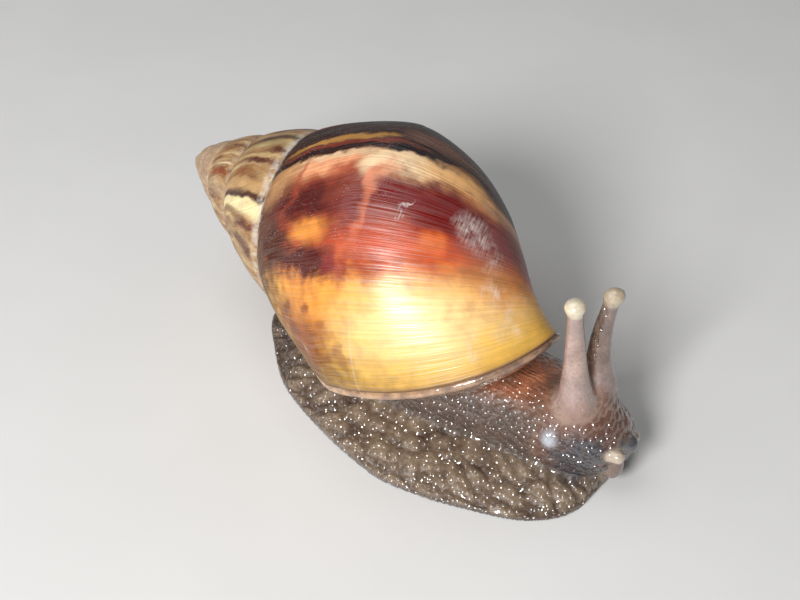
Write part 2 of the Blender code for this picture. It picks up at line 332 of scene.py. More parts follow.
def ball(name: str, centre: Vector, radius: float, stretch: Sequence[float]) -> bpy.types.Object:
    """A new round object, its radius stretched by these shares along X, Y and Z.

    Args:
        name: the object's name.
        centre: its middle, in metres.
        radius: its radius before it is stretched, in metres.
        stretch: shares of the radius along X, Y and Z.

    Returns:
        The object, with its scale applied.
    """
    pick()
    bpy.ops.mesh.primitive_uv_sphere_add(
        segments=BALL_SEGMENTS, ring_count=BALL_RINGS, radius=radius, location=centre
    )
    obj = bpy.context.object
    obj.name = name
    obj.scale = stretch
    bpy.ops.object.transform_apply(location=True, rotation=True, scale=True)
    return obj


def face_outwards(obj: bpy.types.Object) -> None:
    """Turns every face of the object outwards and shades it smooth.

    Args:
        obj: a closed mesh object.
    """
    pick(obj)
    bpy.ops.object.mode_set(mode="EDIT")
    bpy.ops.mesh.select_all(action="SELECT")
    bpy.ops.mesh.normals_make_consistent(inside=False)
    bpy.ops.object.mode_set(mode="OBJECT")
    bpy.ops.object.shade_smooth()


def points_of(obj: bpy.types.Object) -> np.ndarray:
    """The mesh's points, one row each.

    Args:
        obj: a mesh object.

    Returns:
        Places in metres.
    """
    flat = np.empty(len(obj.data.vertices) * 3, np.float32)
    obj.data.vertices.foreach_get("co", flat)
    return flat.reshape(-1, 3).astype(float)


def normals_of(obj: bpy.types.Object) -> np.ndarray:
    """The mesh's normals at its points, one row each.

    Args:
        obj: a mesh object.

    Returns:
        Unit normals.
    """
    flat = np.empty(len(obj.data.vertices) * 3, np.float32)
    obj.data.vertex_normals.foreach_get("vector", flat)
    return flat.reshape(-1, 3).astype(float)


def place_points(obj: bpy.types.Object, points: np.ndarray) -> None:
    """Moves the mesh's points there."""
    obj.data.vertices.foreach_set("co", points.astype(np.float32).ravel())
    obj.data.update()


@dataclass
class Draft:
    """A mesh being put together: its points, its faces and the growth map at their corners."""

    points: np.ndarray
    faces: list[list[int]] = field(default_factory=list)
    growth: list[np.ndarray] = field(default_factory=list)

    def grow(self, points: np.ndarray) -> list[int]:
        """Adds points and tells their numbers.

        Args:
            points: one row each, in metres.

        Returns:
            The new points' numbers.
        """
        first = len(self.points)
        self.points = np.concatenate([self.points, points])
        return list(range(first, len(self.points)))

    def cover(self, corners: list[int], place: tuple[float, float]) -> None:
        """Adds a face with the same place on the growth map at every corner."""
        self.faces.append(corners)
        self.growth.append(np.full((len(corners), 2), place))

    def band(self, outer: list[int], inner: list[int], place: tuple[float, float]) -> None:
        """Adds the faces between two rings of points."""
        for one, two, three, four in zip(outer, turned(outer), turned(inner), inner):
            self.cover([one, two, three, four], place)

    def fan(self, ring: list[int], middle: np.ndarray, place: tuple[float, float]) -> None:
        """Closes a ring of points with triangles round a new middle point.

        Args:
            ring: the ring's points, in order.
            middle: where the new point lies.
            place: the place on the growth map.
        """
        (centre,) = self.grow(middle[None])
        for one, two in zip(ring, turned(ring)):
            self.cover([one, two, centre], place)

    def build(self, name: str) -> bpy.types.Object:
        """Builds the object, with its growth map if it has one.

        Args:
            name: the object's name.

        Returns:
            The object, facing outwards.
        """
        mesh = bpy.data.meshes.new(name)
        mesh.from_pydata(self.points.tolist(), [], self.faces)
        if self.growth:
            chart = mesh.uv_layers.new(name=GROWTH_MAP)
            chart.data.foreach_set("uv", np.concatenate(self.growth).astype(np.float32).ravel())
        obj = place_object(name, mesh)
        face_outwards(obj)
        return obj


@dataclass
class Neighbours:
    """Averages values over a mesh's edges."""

    obj: bpy.types.Object
    edges: np.ndarray = field(init=False)
    counts: np.ndarray = field(init=False)

    def __post_init__(self) -> None:
        """Reads the mesh's edges once."""
        flat = np.empty(len(self.obj.data.edges) * 2, np.int32)
        self.obj.data.edges.foreach_get("vertices", flat)
        self.edges = flat.reshape(-1, 2)
        self.counts = np.bincount(flat, minlength=len(self.obj.data.vertices)).clip(1)

    def spread(self, values: np.ndarray, times: int) -> np.ndarray:
        """Averages a value at each point with its neighbours that many times.

        Args:
            values: one value for each point.
            times: how many times.

        Returns:
            The averaged values.
        """
        one, two = self.edges.T
        size = len(values)
        for _ in range(times):
            total = np.bincount(one, values[two], size) + np.bincount(two, values[one], size)
            values = 0.5 * values + 0.5 * total / self.counts
        return values

    def relax(self, points: np.ndarray, weight: np.ndarray, times: int) -> np.ndarray:
        """Draws each point along its normal towards its neighbours' middle that many times.

        Args:
            points: one row each, in metres.
            weight: how strongly each point is drawn, from 0 to 1.
            times: how many times.

        Returns:
            The moved points.
        """
        one, two = self.edges.T
        points, size = points.copy(), len(points)
        for k in range(times):
            if k % 20 == 0:
                place_points(self.obj, points)
                normals = normals_of(self.obj)
            rise = np.zeros(size)
            for axis in range(3):
                row = points[:, axis]
                total = np.bincount(one, row[two], size) + np.bincount(two, row[one], size)
                rise += (total / self.counts - row) * normals[:, axis]
            points += normals * (0.7 * weight * rise)[:, None]
        return points


# ---------------------------------------------------------------- finishes


@dataclass(frozen=True)
class Patch:
    """A soft-edged patch of pigment on the shell.

    turn and share give its middle: radians back from the lip along the growth, and place on the
    profile from -1 at the suture through 0 at the periphery to 1 at the base. A scuff has no
    colour code.
    """

    turn: float
    share: float
    half_turn: float
    half_share: float
    code: str
    strength: float = 0.9
    softness: float = 0.6
    tilt: float = 0.0


@dataclass(frozen=True)
class ShellGround:
    """Places on the shell, and the noises that its pigment and its wear share.

    turn and share are the growth map. drift and warped are the same places, leaning and shifted
    by clouds; ragged frays a patch's edge, and thickness is where dust lies thick.
    """

    add: Adder
    growth: bpy.types.Node
    turn: Socket
    share: Socket
    solid: Socket
    thickness: Socket
    fray: bpy.types.Node
    ragged: bpy.types.Node
    is_spire: bpy.types.Node
    drift: bpy.types.Node
    warped: bpy.types.Node


@dataclass(frozen=True)
class ShellFinish:
    """Aragonite shell under a thin varnish-like periostracum, worn at the crown.

    To the eye it is polished, amber with maroon flames along the growth lines, a glossy streaked
    highlight, pale scuffs where the varnish is rubbed off and fine spiral scratches.
    """

    young_stops: tuple[tuple[float, str], ...] = (
        (0.000, "#7d5c3c"), (0.007, "#b38843"), (0.016, "#d2a24a"), (0.055, "#dfae4e"),
        (0.140, "#e6ae50"), (0.240, "#e8a448"), (0.300, "#dc8a45"), (0.350, "#bf4f28"),
        (0.410, "#a63a20"), (0.470, "#8e3223"), (0.520, "#7f352a"), (0.560, "#c0764a"),
        (0.590, "#e9ae7d"), (0.640, "#e6ab74"), (0.665, "#5a2d22"), (0.700, "#3f241f"),
        (0.820, "#33211c"), (1.000, "#3b251c"),
    )
    old_stops: tuple[tuple[float, str], ...] = (
        (0.36, "#34201a"), (0.44, "#5a2c24"), (0.50, "#8f4a2c"), (0.55, "#c48243"),
        (0.62, "#d9a35f"), (0.70, "#e2b47c"),
    )
    spire_stops: tuple[tuple[float, str], ...] = (
        (0.32, "#6e4630"), (0.41, "#93673f"), (0.48, "#a98258"), (0.56, "#b89568"),
        (0.66, "#d3b888"), (0.76, "#e6d2a4"),
    )
    crown: str = "#bfa184"
    dust: str = "#e4dcd3"
    young_reach: float = 2.8
    body_slope: float = 0.14
    spire_slope: float = 0.45
    patches: tuple[Patch, ...] = (
        # The last whorl, from its lip back.
        Patch(-0.30, -0.80, 0.60, 0.32, "#8a6b35", 0.80, 0.8),
        Patch(-1.15, -0.84, 0.80, 0.26, "#50301c", 0.92, 0.7),
        Patch(-0.12, -0.22, 0.20, 0.32, "#6e480c", 0.92, 0.8),
        # Painted highlight: a pale cream patch where the key light's highlight falls.
        Patch(-0.50, 0.40, 0.24, 0.28, "#fbdc9c", 0.85, 0.9),
        Patch(-0.38, -0.22, 0.22, 0.26, "#8f430b", 0.92, 0.8),
        Patch(-0.64, -0.16, 0.15, 0.24, "#ee9a3e", 0.90, 0.8),
        Patch(-0.50, -0.42, 0.09, 0.07, "#7c4422", 0.90, 0.7),
        Patch(-0.54, -0.20, 0.045, 0.05, "#8a4a24", 0.85, 0.7),
        Patch(-0.46, -0.02, 0.035, 0.04, "#9a5626", 0.75, 0.8),
        Patch(-0.34, -0.34, 0.06, 0.05, "#80491f", 0.85, 0.7),
        Patch(-0.40, -0.14, 0.045, 0.05, "#8a5022", 0.80, 0.8),
        Patch(-0.26, 0.07, 0.06, 0.03, "#9a6130", 0.65, 0.8),
        Patch(-1.10, -0.30, 0.34, 0.34, "#9c452c", 0.80, 0.6),
        Patch(-0.860, -0.17, 0.100, 0.38, "#521c19", 0.97, 0.5),
        Patch(-0.83, 0.03, 0.10, 0.06, "#7c2c2c", 0.88, 0.8),
        Patch(-0.98, -0.62, 0.22, 0.15, "#4a2010", 0.92, 0.7),
        Patch(-1.09, -0.27, 0.085, 0.16, "#ee9846", 0.97, 0.7),
        Patch(-1.315, -0.33, 0.125, 0.34, "#561d1a", 0.97, 0.5),
        Patch(-1.28, -0.03, 0.19, 0.15, "#742a25", 0.92, 0.7),
        Patch(-1.42, -0.12, 0.12, 0.12, "#8f4432", 0.70, 0.8),
        Patch(-1.63, -0.34, 0.11, 0.23, "#fbae80", 0.95, 0.5),
        Patch(-1.57, -0.18, 0.07, 0.13, "#a8452c", 0.85, 0.8),
        Patch(-1.735, -0.33, 0.03, 0.28, "#f5cda2", 0.85, 0.6),
        Patch(-1.60, -0.74, 0.18, 0.12, "#c28f60", 0.85, 0.7),
        Patch(-1.50, -0.555, 0.26, 0.02, "#a0452f", 0.65, 0.8),
        Patch(-1.64, 0.02, 0.14, 0.11, "#ffdcae", 0.97, 0.6),
        Patch(-1.67, 0.19, 0.14, 0.12, "#ffdfb0", 0.97, 0.7),
        Patch(-1.72, 0.34, 0.14, 0.13, "#fbbd78", 0.97, 0.8),
        Patch(-1.34, 0.28, 0.23, 0.25, "#72100c", 0.97, 0.5),
        Patch(-1.50, 0.07, 0.14, 0.05, "#f09a70", 0.85, 0.8),
        Patch(-1.10, 0.15, 0.14, 0.08, "#a2452f", 0.80, 0.8),
        Patch(-1.20, 0.066, 0.36, 0.026, "#d0704a", 0.60, 0.8),
        Patch(-0.96, 0.28, 0.15, 0.22, "#c6522e", 0.80, 0.8),
        Patch(-1.06, 0.36, 0.07, 0.05, "#e0773a", 0.75, 0.8),
        Patch(-0.90, 0.42, 0.05, 0.04, "#e58a44", 0.65, 0.8),
        Patch(-1.25, 0.62, 0.45, 0.13, "#8c5452", 0.80, 0.8),
        Patch(-0.74, 0.62, 0.25, 0.12, "#dd9450", 0.65, 0.9),
        # A dark streak across it, with a pale edge.
        Patch(-1.820, -0.40, 0.060, 0.64, "#2a1013", 0.98, 0.3),
        Patch(-1.905, 0.20, 0.055, 0.28, "#1a0f11", 0.98, 0.35, 0.60),
        Patch(-1.880, -0.35, 0.028, 0.42, "#8a3a28", 0.85, 0.6),
        Patch(-1.957, -0.38, 0.046, 0.36, "#c08a42", 0.96, 0.4),
        Patch(-2.07, 0.22, 0.10, 0.18, "#8a5f4a", 0.75, 0.8),
        # The whorl before it.
        Patch(-7.12, -0.45, 0.092, 0.80, "#f0dca6", 0.97, 0.4),
        Patch(-7.250, -0.45, 0.050, 0.75, "#4a2a24", 0.97, 0.4),
        Patch(-7.02, -0.70, 0.04, 0.30, "#8a6a48", 0.70, 0.7),
        Patch(-6.90, -0.32, 0.055, 0.17, "#5c2a18", 0.95, 0.6),
        Patch(-6.92, -0.10, 0.050, 0.09, "#6a3018", 0.92, 0.6),
        Patch(-6.68, -0.36, 0.055, 0.19, "#5e2e1c", 0.92, 0.6),
        Patch(-6.63, -0.14, 0.055, 0.08, "#5f2c14", 0.92, 0.6),
        Patch(-7.36, -0.40, 0.075, 0.60, "#c9a06c", 0.75, 0.7),
        Patch(-7.52, -0.55, 0.06, 0.12, "#8a5228", 0.80, 0.8),
        Patch(-7.70, -0.36, 0.045, 0.38, "#5a2418", 0.94, 0.6),
        Patch(-7.79, -0.30, 0.035, 0.60, "#d0b27c", 0.80, 0.7),
        Patch(-7.89, -0.12, 0.050, 0.14, "#5c2a18", 0.92, 0.6),
        Patch(-8.02, -0.30, 0.060, 0.50, "#b5a06e", 0.75, 0.7),
        Patch(-8.15, -0.30, 0.050, 0.60, "#4d3b2c", 0.85, 0.7),
        # The spire.
        Patch(-13.60, -0.36, 0.060, 0.36, "#93461f", 0.95, 0.6),
        Patch(-13.79, -0.26, 0.014, 0.24, "#f0dcb4", 0.85, 0.7),
        Patch(-13.30, -0.36, 0.12, 0.40, "#b3987a", 0.60, 0.8),
    )
    scuffs: tuple[Patch, ...] = (
        Patch(-1.27, 0.49, 0.15, 0.035, "", 0.90, 0.8, 0.18),
        Patch(-1.12, 0.57, 0.20, 0.025, "", 0.55, 0.9, 0.15),
        Patch(-0.70, 0.60, 0.13, 0.030, "", 0.75, 0.9),
        Patch(-0.25, 0.55, 0.12, 0.020, "", 0.50, 0.9),
        Patch(-0.45, 0.69, 0.22, 0.025, "", 0.50, 0.9),
        Patch(-1.28, 0.215, 0.10, 0.007, "", 0.85, 0.6, -0.12),
        Patch(-0.25, -0.24, 0.05, 0.020, "", 0.8, 0.8, 0.90),
    )

    def ground(self, add: Adder) -> ShellGround:
        """Adds the places and noises that pigment and wear share.

        Args:
            add: adds a node to the material.

        Returns:
            Those places and noises.
        """
        growth = add("UVMap", uv_map=GROWTH_MAP)
        turn, share = add("SeparateXYZ", {0: growth}).outputs[:2]
        solid = add("TexCoord").outputs["Object"]
        # Streaks along growth lines: 0.9 mm across and a fifth of the profile long.
        long = add("VectorMath", {0: growth, 1: (26.0, 2.4, 1.0)}, operation="MULTIPLY")
        streak = add("TexNoise", {"Vector": long, "Scale": 1.0, "Detail": 3.0})
        # Clouds of pigment: 5 mm ones shift the pattern, 2 mm ones fray its edges.
        cloud = add("TexNoise", {"Vector": solid, "Scale": 190.0, "Detail": 3.0})
        clouds = add("SeparateColor", {0: cloud.outputs["Color"]}).outputs
        fray = add("TexNoise", {"Vector": solid, "Scale": 480.0, "Detail": 4.0})
        ragged = add("Math", {0: fray, 1: 1.0, 2: -0.72}, operation="MULTIPLY_ADD")
        ragged = add("Math", {0: streak, 1: 0.4, 2: ragged}, operation="MULTIPLY_ADD")

        # On the upper half the pattern leans against the growth lines, most on the spire.
        is_spire = add("MapRange", {0: turn, 1: -4.9, 2: -6.1}, interpolation_type="SMOOTHSTEP")
        slope = add("MapRange", {0: is_spire, 3: self.body_slope, 4: self.spire_slope})
        above = add("Math", {0: share, 1: 0.0}, operation="MINIMUM")
        lean = add("Math", {0: above, 1: slope}, operation="MULTIPLY")
        upright = add("Math", {0: turn, 1: lean}, operation="SUBTRACT")
        drift = add("MapRange", {0: clouds[0], 1: 0.2, 2: 0.8, 3: -0.06, 4: 0.06})
        drift = add("Math", {0: drift, 1: upright}, operation="ADD")
        rise = add("MapRange", {0: clouds[1], 1: 0.2, 2: 0.8, 3: -0.08, 4: 0.08})
        rise = add("Math", {0: rise, 1: share}, operation="ADD")
        warped = add("CombineXYZ", {0: drift, 1: rise})
        return ShellGround(
            add, growth, turn, share, solid, clouds[2], fray, ragged, is_spire, drift, warped
        )

    def pigment(self, ground: ShellGround) -> Socket:
        """The shell's colour before its patches.

        Args:
            ground: the places and noises to read.

        Returns:
            The colour.
        """
        add, is_spire, warped = ground.add, ground.is_spire, ground.warped
        # Older whorls carry uneven flames, paler and finer on the spire.
        along = add("VectorMath", {0: warped, 1: (2.3, 0.40, 1.0)}, operation="MULTIPLY")
        flames = add("TexNoise", {"Vector": along, "Scale": 1.0, "Detail": 3.0})
        old_body = add("ValToRGB", {0: flames}, stops=self.old_stops)
        fine = add("VectorMath", {0: warped, 1: (7.0, 1.3, 1.0)}, operation="MULTIPLY")
        spots = add("TexNoise", {"Vector": fine, "Scale": 1.0, "Detail": 4.0})
        old_spire = add("ValToRGB", {0: spots}, stops=self.spire_stops)
        old = add("Mix", {0: is_spire, 6: old_body, 7: old_spire}, data_type="RGBA").outputs[2]
        is_crown = add("MapRange", {0: ground.turn, 1: -15.0, 2: -21.0, 4: 0.75})
        crown = linear(self.crown)
        old = add("Mix", {0: is_crown, 6: old, 7: crown}, data_type="RGBA").outputs[2]

        # The young growth's bands follow the lip, straight beside it and warped further back.
        back = add("MapRange", {0: ground.drift, 1: 0.0, 2: -self.young_reach})
        lip_back = add("MapRange", {0: ground.turn, 1: 0.0, 2: -self.young_reach})
        off_lip = add("MapRange", {0: ground.turn, 1: -0.10, 2: -0.35})
        back = add("Mix", {0: off_lip, 2: lip_back, 3: back})
        young = add("ValToRGB", {0: back}, stops=self.young_stops)
        reach = {0: ground.drift, 1: -2.25, 2: -2.7}
        is_old = add("MapRange", reach, interpolation_type="SMOOTHSTEP")
        return add("Mix", {0: is_old, 6: young, 7: old}, data_type="RGBA").outputs[2]

    def spot(self, ground: ShellGround, patch: Patch) -> bpy.types.Node:
        """How strongly a patch covers each point, from 0 outside it to its strength within.

        Args:
            ground: the places and noises to read.
            patch: the patch.

        Returns:
            The patch's cover.
        """
        centred = {0: ground.warped, 1: (patch.turn, patch.share, 0.0)}
        centred |= {2: (0.0, 0.0, patch.tilt), 3: (patch.half_turn, patch.half_share, 1.0)}
        centred = ground.add("Mapping", centred, vector_type="TEXTURE")
        far = ground.add("VectorMath", {0: centred}, operation="LENGTH").outputs["Value"]
        frayed = ground.add("Math", {0: far, 1: ground.ragged}, operation="ADD")
        cover = {0: frayed, 1: 1.0 + patch.softness, 2: 1.0 - patch.softness, 4: patch.strength}
        return ground.add("MapRange", cover, interpolation_type="SMOOTHSTEP")

    def wear(self, ground: ShellGround) -> bpy.types.Node:
        """Where the varnish is gone: chalk at the sutures, dust, scuffs and a scratch.

        Args:
            ground: the places and noises to read.

        Returns:
            The wear, from 0 to 1.
        """
        add, turn, share, solid = ground.add, ground.turn, ground.share, ground.solid
        # Chalky crumbs lie along the sutures.
        near_suture = add("MapRange", {0: share, 1: -0.88, 2: -0.98, 4: 0.8})
        chalk = add("TexNoise", {"Vector": solid, "Scale": 900.0, "Detail": 3.0})
        crumbs = add("MapRange", {0: chalk, 1: 0.40, 2: 0.58, 3: 0.10, 4: 1.0})
        # On the spire a chalky band follows the suture on its older side too.
        above_suture = add("MapRange", {0: share, 1: -0.09, 2: 0.0, 4: 0.55})
        by_last = add("MapRange", {0: turn, 1: -13.0, 2: -10.5, 3: 0.35, 4: 1.0})
        above_suture = add("Math", {0: above_suture, 1: by_last}, operation="MULTIPLY")
        above_suture = add("Math", {0: above_suture, 1: ground.is_spire}, operation="MULTIPLY")
        near_suture = add("Math", {0: near_suture, 1: above_suture}, operation="MAXIMUM")
        worn = add("Math", {0: near_suture, 1: crumbs}, operation="MULTIPLY")
        # Fine dust gathers on the upper half, least beside the lip.
        specks = add("TexVoronoi", {"Vector": solid, "Scale": 1900.0})
        specks = add("MapRange", {0: specks, 1: 0.23, 2: 0.08})
        upper = add("MapRange", {0: share, 1: 0.35, 2: -0.25, 3: 0.08, 4: 1.0})
        specks = add("Math", {0: specks, 1: upper}, operation="MULTIPLY")
        dusty = add("MapRange", {0: turn, 1: -0.90, 2: -0.55, 3: 0.55, 4: 0.15})
        thick = add("MapRange", {0: ground.thickness, 1: 0.40, 2: 0.62, 4: dusty})
        specks = add("Math", {0: specks, 1: thick}, operation="MULTIPLY")
        worn = add("Math", {0: worn, 1: specks}, operation="MAXIMUM")
        # Scuffs: streaks rubbed along the spiral, most on the lower half of the last whorl.
        rub = add("VectorMath", {0: ground.growth, 1: (9.0, 150.0, 1.0)}, operation="MULTIPLY")
        rub = add("TexNoise", {"Vector": rub, "Scale": 1.0, "Detail": 2.0})
        rub = add("Mix", {0: 0.5, 2: rub, 3: ground.fray})
        rub = add("MapRange", {0: rub, 1: 0.40, 2: 0.64})
        for patch in self.scuffs:
            scuff = add("Math", {0: self.spot(ground, patch), 1: rub}, operation="MULTIPLY")
            worn = add("Math", {0: worn, 1: scuff}, operation="MAXIMUM")
        # One long scratch runs with the spiral just below the periphery.
        off = add("Math", {0: share, 1: 0.125}, operation="SUBTRACT")
        off = add("Math", {0: off}, operation="ABSOLUTE")
        scratch = add("MapRange", {0: off, 1: 0.005, 2: 0.001, 4: 0.20})
        newest = add("MapRange", {0: turn, 1: -0.65, 2: -0.40})
        scratch = add("Math", {0: scratch, 1: newest}, operation="MULTIPLY")
        return add("Math", {0: worn, 1: scratch}, operation="MAXIMUM")

    def make(self) -> bpy.types.Material:
        """Builds the shell's material on the piece's own growth map.

        Returns:
            The material.
        """
        material, shader, add = blank_material("glossy_aragonite_shell")
        ground = self.ground(add)
        growth, share = ground.growth, ground.share
        colour = self.pigment(ground)
        for patch in self.patches:
            mask, tone = self.spot(ground, patch), linear(patch.code)
            colour = add("Mix", {0: mask, 6: colour, 7: tone}, data_type="RGBA").outputs[2]

        # Growth lines, about 0.5 mm apart, darken and lighten the pigment a little.
        lines = add("VectorMath", {0: growth, 1: (52.0, 1.1, 1.0)}, operation="MULTIPLY")
        lines = add("TexNoise", {"Vector": lines, "Scale": 1.0, "Detail": 3.0})
        shade = add("MapRange", {0: lines, 1: 0.3, 2: 0.7, 3: 0.86, 4: 1.12})
        mottle = add("MapRange", {0: ground.fray, 1: 0.3, 2: 0.7, 3: 0.86, 4: 1.12})
        shade = add("Math", {0: shade, 1: mottle}, operation="MULTIPLY")
        colour = add("VectorMath", {0: colour, "Scale": shade}, operation="SCALE")
        worn, dust = self.wear(ground), linear(self.dust)
        colour = add("Mix", {0: worn, 6: colour, 7: dust}, data_type="RGBA").outputs[2]
        rough = add("MapRange", {0: worn, 3: 0.42, 4: 0.65})

        # The growth lines draw the sheen out along the spiral, as brushing does on metal.
        spiral = add("Tangent", direction_type="UV_MAP", uv_map=GROWTH_MAP)
        broken = add("VectorMath", {0: growth, 1: (120.0, 4.0, 1.0)}, operation="MULTIPLY")
        broken = add("TexNoise", {"Vector": broken, "Scale": 1.0, "Detail": 3.0})
        sheen = add("MapRange", {0: broken, 1: 0.42, 2: 0.62, 3: 0.05, 4: 1.35})
        # Near the sutures the varnish is rubbed dull.
        whole = add("MapRange", {0: share, 1: -0.75, 2: 0.05, 3: 0.3, 4: 1.0})
        sheen = add("Math", {0: sheen, 1: whole}, operation="MULTIPLY")
        coat = add("Math", {0: whole, 1: 0.28}, operation="MULTIPLY")
        ridges = add("Bump", {"Strength": 1.0, "Distance": 0.13 * MM, "Height": lines})
        grain = add("TexNoise", {"Vector": ground.solid, "Scale": 2400.0, "Detail": 2.0})
        fine = {"Strength": 0.4, "Distance": 0.03 * MM, "Height": grain, "Normal": ridges}
        bump = add("Bump", fine)
        surface = {
            "Base Color": colour, "Roughness": rough, "IOR": 1.53, "Specular IOR Level": sheen,
            "Anisotropic": 0.75, "Tangent": spiral, "Normal": bump, "Coat Normal": ridges,
            "Coat Weight": coat, "Coat Roughness": 0.24, "Coat IOR": 1.48,
        }
        feed(shader, surface)
        return material


@dataclass(frozen=True)
class SkinFinish:
    """Living snail skin: soft tubercled tissue under a film of mucus.

    To the eye it is wet: a dull grey-brown with small sharp glints on each grain, light that
    sinks in a little at thin places, and redder or bluer tissue where blood and gut show through.
    Shade is painted in as well: dark and bluish along the join of foot and neck, and deeper in the
    creases, the folds, under the mantle's front and on the far feeler.
    tones lays each part's light and deep tone over those of the parts before it.
    """

    tones: tuple[tuple[Mask, str, str], ...] = (
        (Mask.FOOT, "#97826a", "#4f3c2f"),
        (Mask.RIM, "#54443a", "#54443a"),
        (Mask.NECK, "#5f4a3e", "#3d3634"),
        (Mask.HEAD, "#6f4d3e", "#573a30"),
        (Mask.WARM, "#c47c56", "#74402c"),
        (Mask.MANTLE, "#d0a67e", "#75594a"),
        # Painted shade: dark and bluish along the join of foot and neck, and the head's dark patch.
        (Mask.SHADE, "#413f44", "#2c2c31"),
        (Mask.FEELER, "#b3978a", "#6d554b"),
        (Mask.PALE, "#9f8781", "#8f7f7d"),
        (Mask.BULB, "#dfd2b8", "#cdbc9f"),
        (Mask.SKIRT, "#a56a4e", "#80492f"),
        (Mask.LIP, "#4c4c50", "#393a3f"),
        (Mask.FLAP, "#775f52", "#7c675c"),
        (Mask.NUB, "#c0af9a", "#bfae9c"),
        (Mask.PORE, "#bcc1c8", "#9ea3ab"),
    )
    smooth_parts: tuple[Mask, ...] = (
        Mask.MANTLE, Mask.FEELER, Mask.BULB, Mask.PALE, Mask.NUB, Mask.FLAP, Mask.LIP, Mask.PORE
    )

    def folds(
        self, add: Adder, wide: bpy.types.Node, solid: Socket
    ) -> tuple[bpy.types.Node, bpy.types.Node]:
        """The folds along the neck, in wavering, broken strands about 0.7 mm apart.

        Args:
            add: adds a node to the material.
            wide: the noise that makes the strands waver.
            solid: the place in space.

        Returns:
            The folds' height, and a noise that breaks them up, both from 0 to 1.
        """
        strand = add("Attribute", attribute_name=STRAND).outputs["Fac"]
        strand = add("Math", {0: wide, 1: 1.7, 2: strand}, operation="MULTIPLY_ADD")
        strand = add("Math", {0: strand, 1: math.tau}, operation="MULTIPLY")
        strand = add("Math", {0: strand}, operation="SINE")
        folds = add("MapRange", {0: strand, 1: -1.0, 2: 0.6}, interpolation_type="SMOOTHSTEP")
        broken = add("TexNoise", {"Vector": solid, "Scale": 620.0, "Detail": 2.0})
        return folds, add("MapRange", {0: broken, 1: 0.36, 2: 0.62})

    def pigment(self, add: Adder, mask: dict[Mask, Socket], deep: bpy.types.Node) -> Socket:
        """The tissue's colour: a light and a deep tone for each part, laid one over another.

        Args:
            add: adds a node to the material.
            mask: how much each point belongs to each part.
            deep: how much of the deep tone shows.

        Returns:
            The colour.
        """
        colour = None
        for part, light, shadow in self.tones:
            ends = {0: deep, 6: linear(light), 7: linear(shadow)}
            tone = add("Mix", ends, data_type="RGBA").outputs[2]
            if colour is None:
                colour = tone
            else:
                over = {0: mask[part], 6: colour, 7: tone}
                colour = add("Mix", over, data_type="RGBA").outputs[2]
        return colour

    def grains(self, add: Adder, mask: dict[Mask, Socket], solid: Socket) -> bpy.types.Node:
        """Rounded grains 1.2 mm apart, each of its own height, flatter on the smooth parts.

        Args:
            add: adds a node to the material.
            mask: how much each point belongs to each part.
            solid: the place in space.

        Returns:
            The grains' height.
        """
        dots = add("TexVoronoi", {"Vector": solid, "Scale": 830.0})
        size = add("SeparateColor", {0: dots.outputs["Color"]})
        size = add("MapRange", {0: size, 3: 0.72, 4: 1.15})
        round_off = add("Math", {0: dots, 1: 2.0}, operation="POWER")
        domes = add("MapRange", {0: round_off, 1: 0.55, 2: 0.0})
        tall = add("Math", {0: domes, 1: size}, operation="MULTIPLY")
        smooth = mask[self.smooth_parts[0]]
        for part in self.smooth_parts[1:]:
            smooth = add("Math", {0: smooth, 1: mask[part]}, operation="MAXIMUM")
        granular = add("MapRange", {0: smooth, 3: 1.0, 4: 0.05})
        # On the folds and on the forehead the grains lie flatter.
        on_folds = add("MapRange", {0: mask[Mask.WARM], 3: 1.0, 4: 0.8})
        forehead = add("MapRange", {0: mask[Mask.SKIRT], 1: 0.05, 2: 0.35, 3: 1.0, 4: 0.38})
        for share in (on_folds, forehead):
            granular = add("Math", {0: granular, 1: share}, operation="MULTIPLY")
        return add("Math", {0: tall, 1: granular}, operation="MULTIPLY")

    def make(self) -> bpy.types.Material:
        """Builds the skin's material on the masks kept in its mesh.

        Returns:
            The material.
        """
        material, shader, add = blank_material("wet_snail_skin")
        solid = add("TexCoord").outputs["Object"]
        mask = {name: add("Attribute", attribute_name=name.value).outputs["Fac"] for name in Mask}
        # Pigment wanders over 2.5 mm, grains of it over 0.5 mm.
        wide = add("TexNoise", {"Vector": solid, "Scale": 400.0, "Detail": 4.0})
        grain = add("TexNoise", {"Vector": solid, "Scale": 1900.0, "Detail": 3.0})
        folds, broken = self.folds(add, wide, solid)
        folded = add("Math", {0: mask[Mask.WARM], 1: broken}, operation="MULTIPLY")
        # Painted shade darkens the hollows between the neck's folds.
        dark = add("MapRange", {0: folds, 3: 0.30, 4: 0.0})
        dark = add("Math", {0: dark, 1: folded}, operation="MULTIPLY")
        deep = add("MapRange", {0: wide, 1: 0.35, 2: 0.75, 3: -0.15, 4: 0.45})
        # Painted shade deepens the tone in the creases, under the lip's front and on the far feeler.
        deep = add("Math", {0: deep, 1: mask[Mask.GROOVE]}, operation="ADD")
        deep = add("Math", {0: deep, 1: dark}, operation="ADD", use_clamp=True)
        colour = self.pigment(add, mask, deep)

        # A fine net of pale lines parts the head's skin into grains about 0.6 mm wide.
        net = add("TexVoronoi", {"Vector": solid, "Scale": 1800.0}, feature="DISTANCE_TO_EDGE")
        net = add("MapRange", {0: net, 1: 0.02, 2: 0.20, 3: 1.12, 4: 0.97})
        netted = add("Math", {0: mask[Mask.HEAD], 1: mask[Mask.FEELER]}, operation="MAXIMUM")
        netted = add("Math", {0: netted, 1: mask[Mask.BULB]}, operation="SUBTRACT", use_clamp=True)
        net = add("Mix", {0: netted, 2: 1.0, 3: net})
        shade = add("MapRange", {0: grain, 1: 0.3, 2: 0.7, 3: 0.88, 4: 1.12})
        shade = add("Math", {0: shade, 1: net}, operation="MULTIPLY")
        colour = add("VectorMath", {0: colour, "Scale": shade}, operation="SCALE")
        rough = add("MapRange", {0: grain, 1: 0.3, 2: 0.7, 3: 0.36, 4: 0.52})

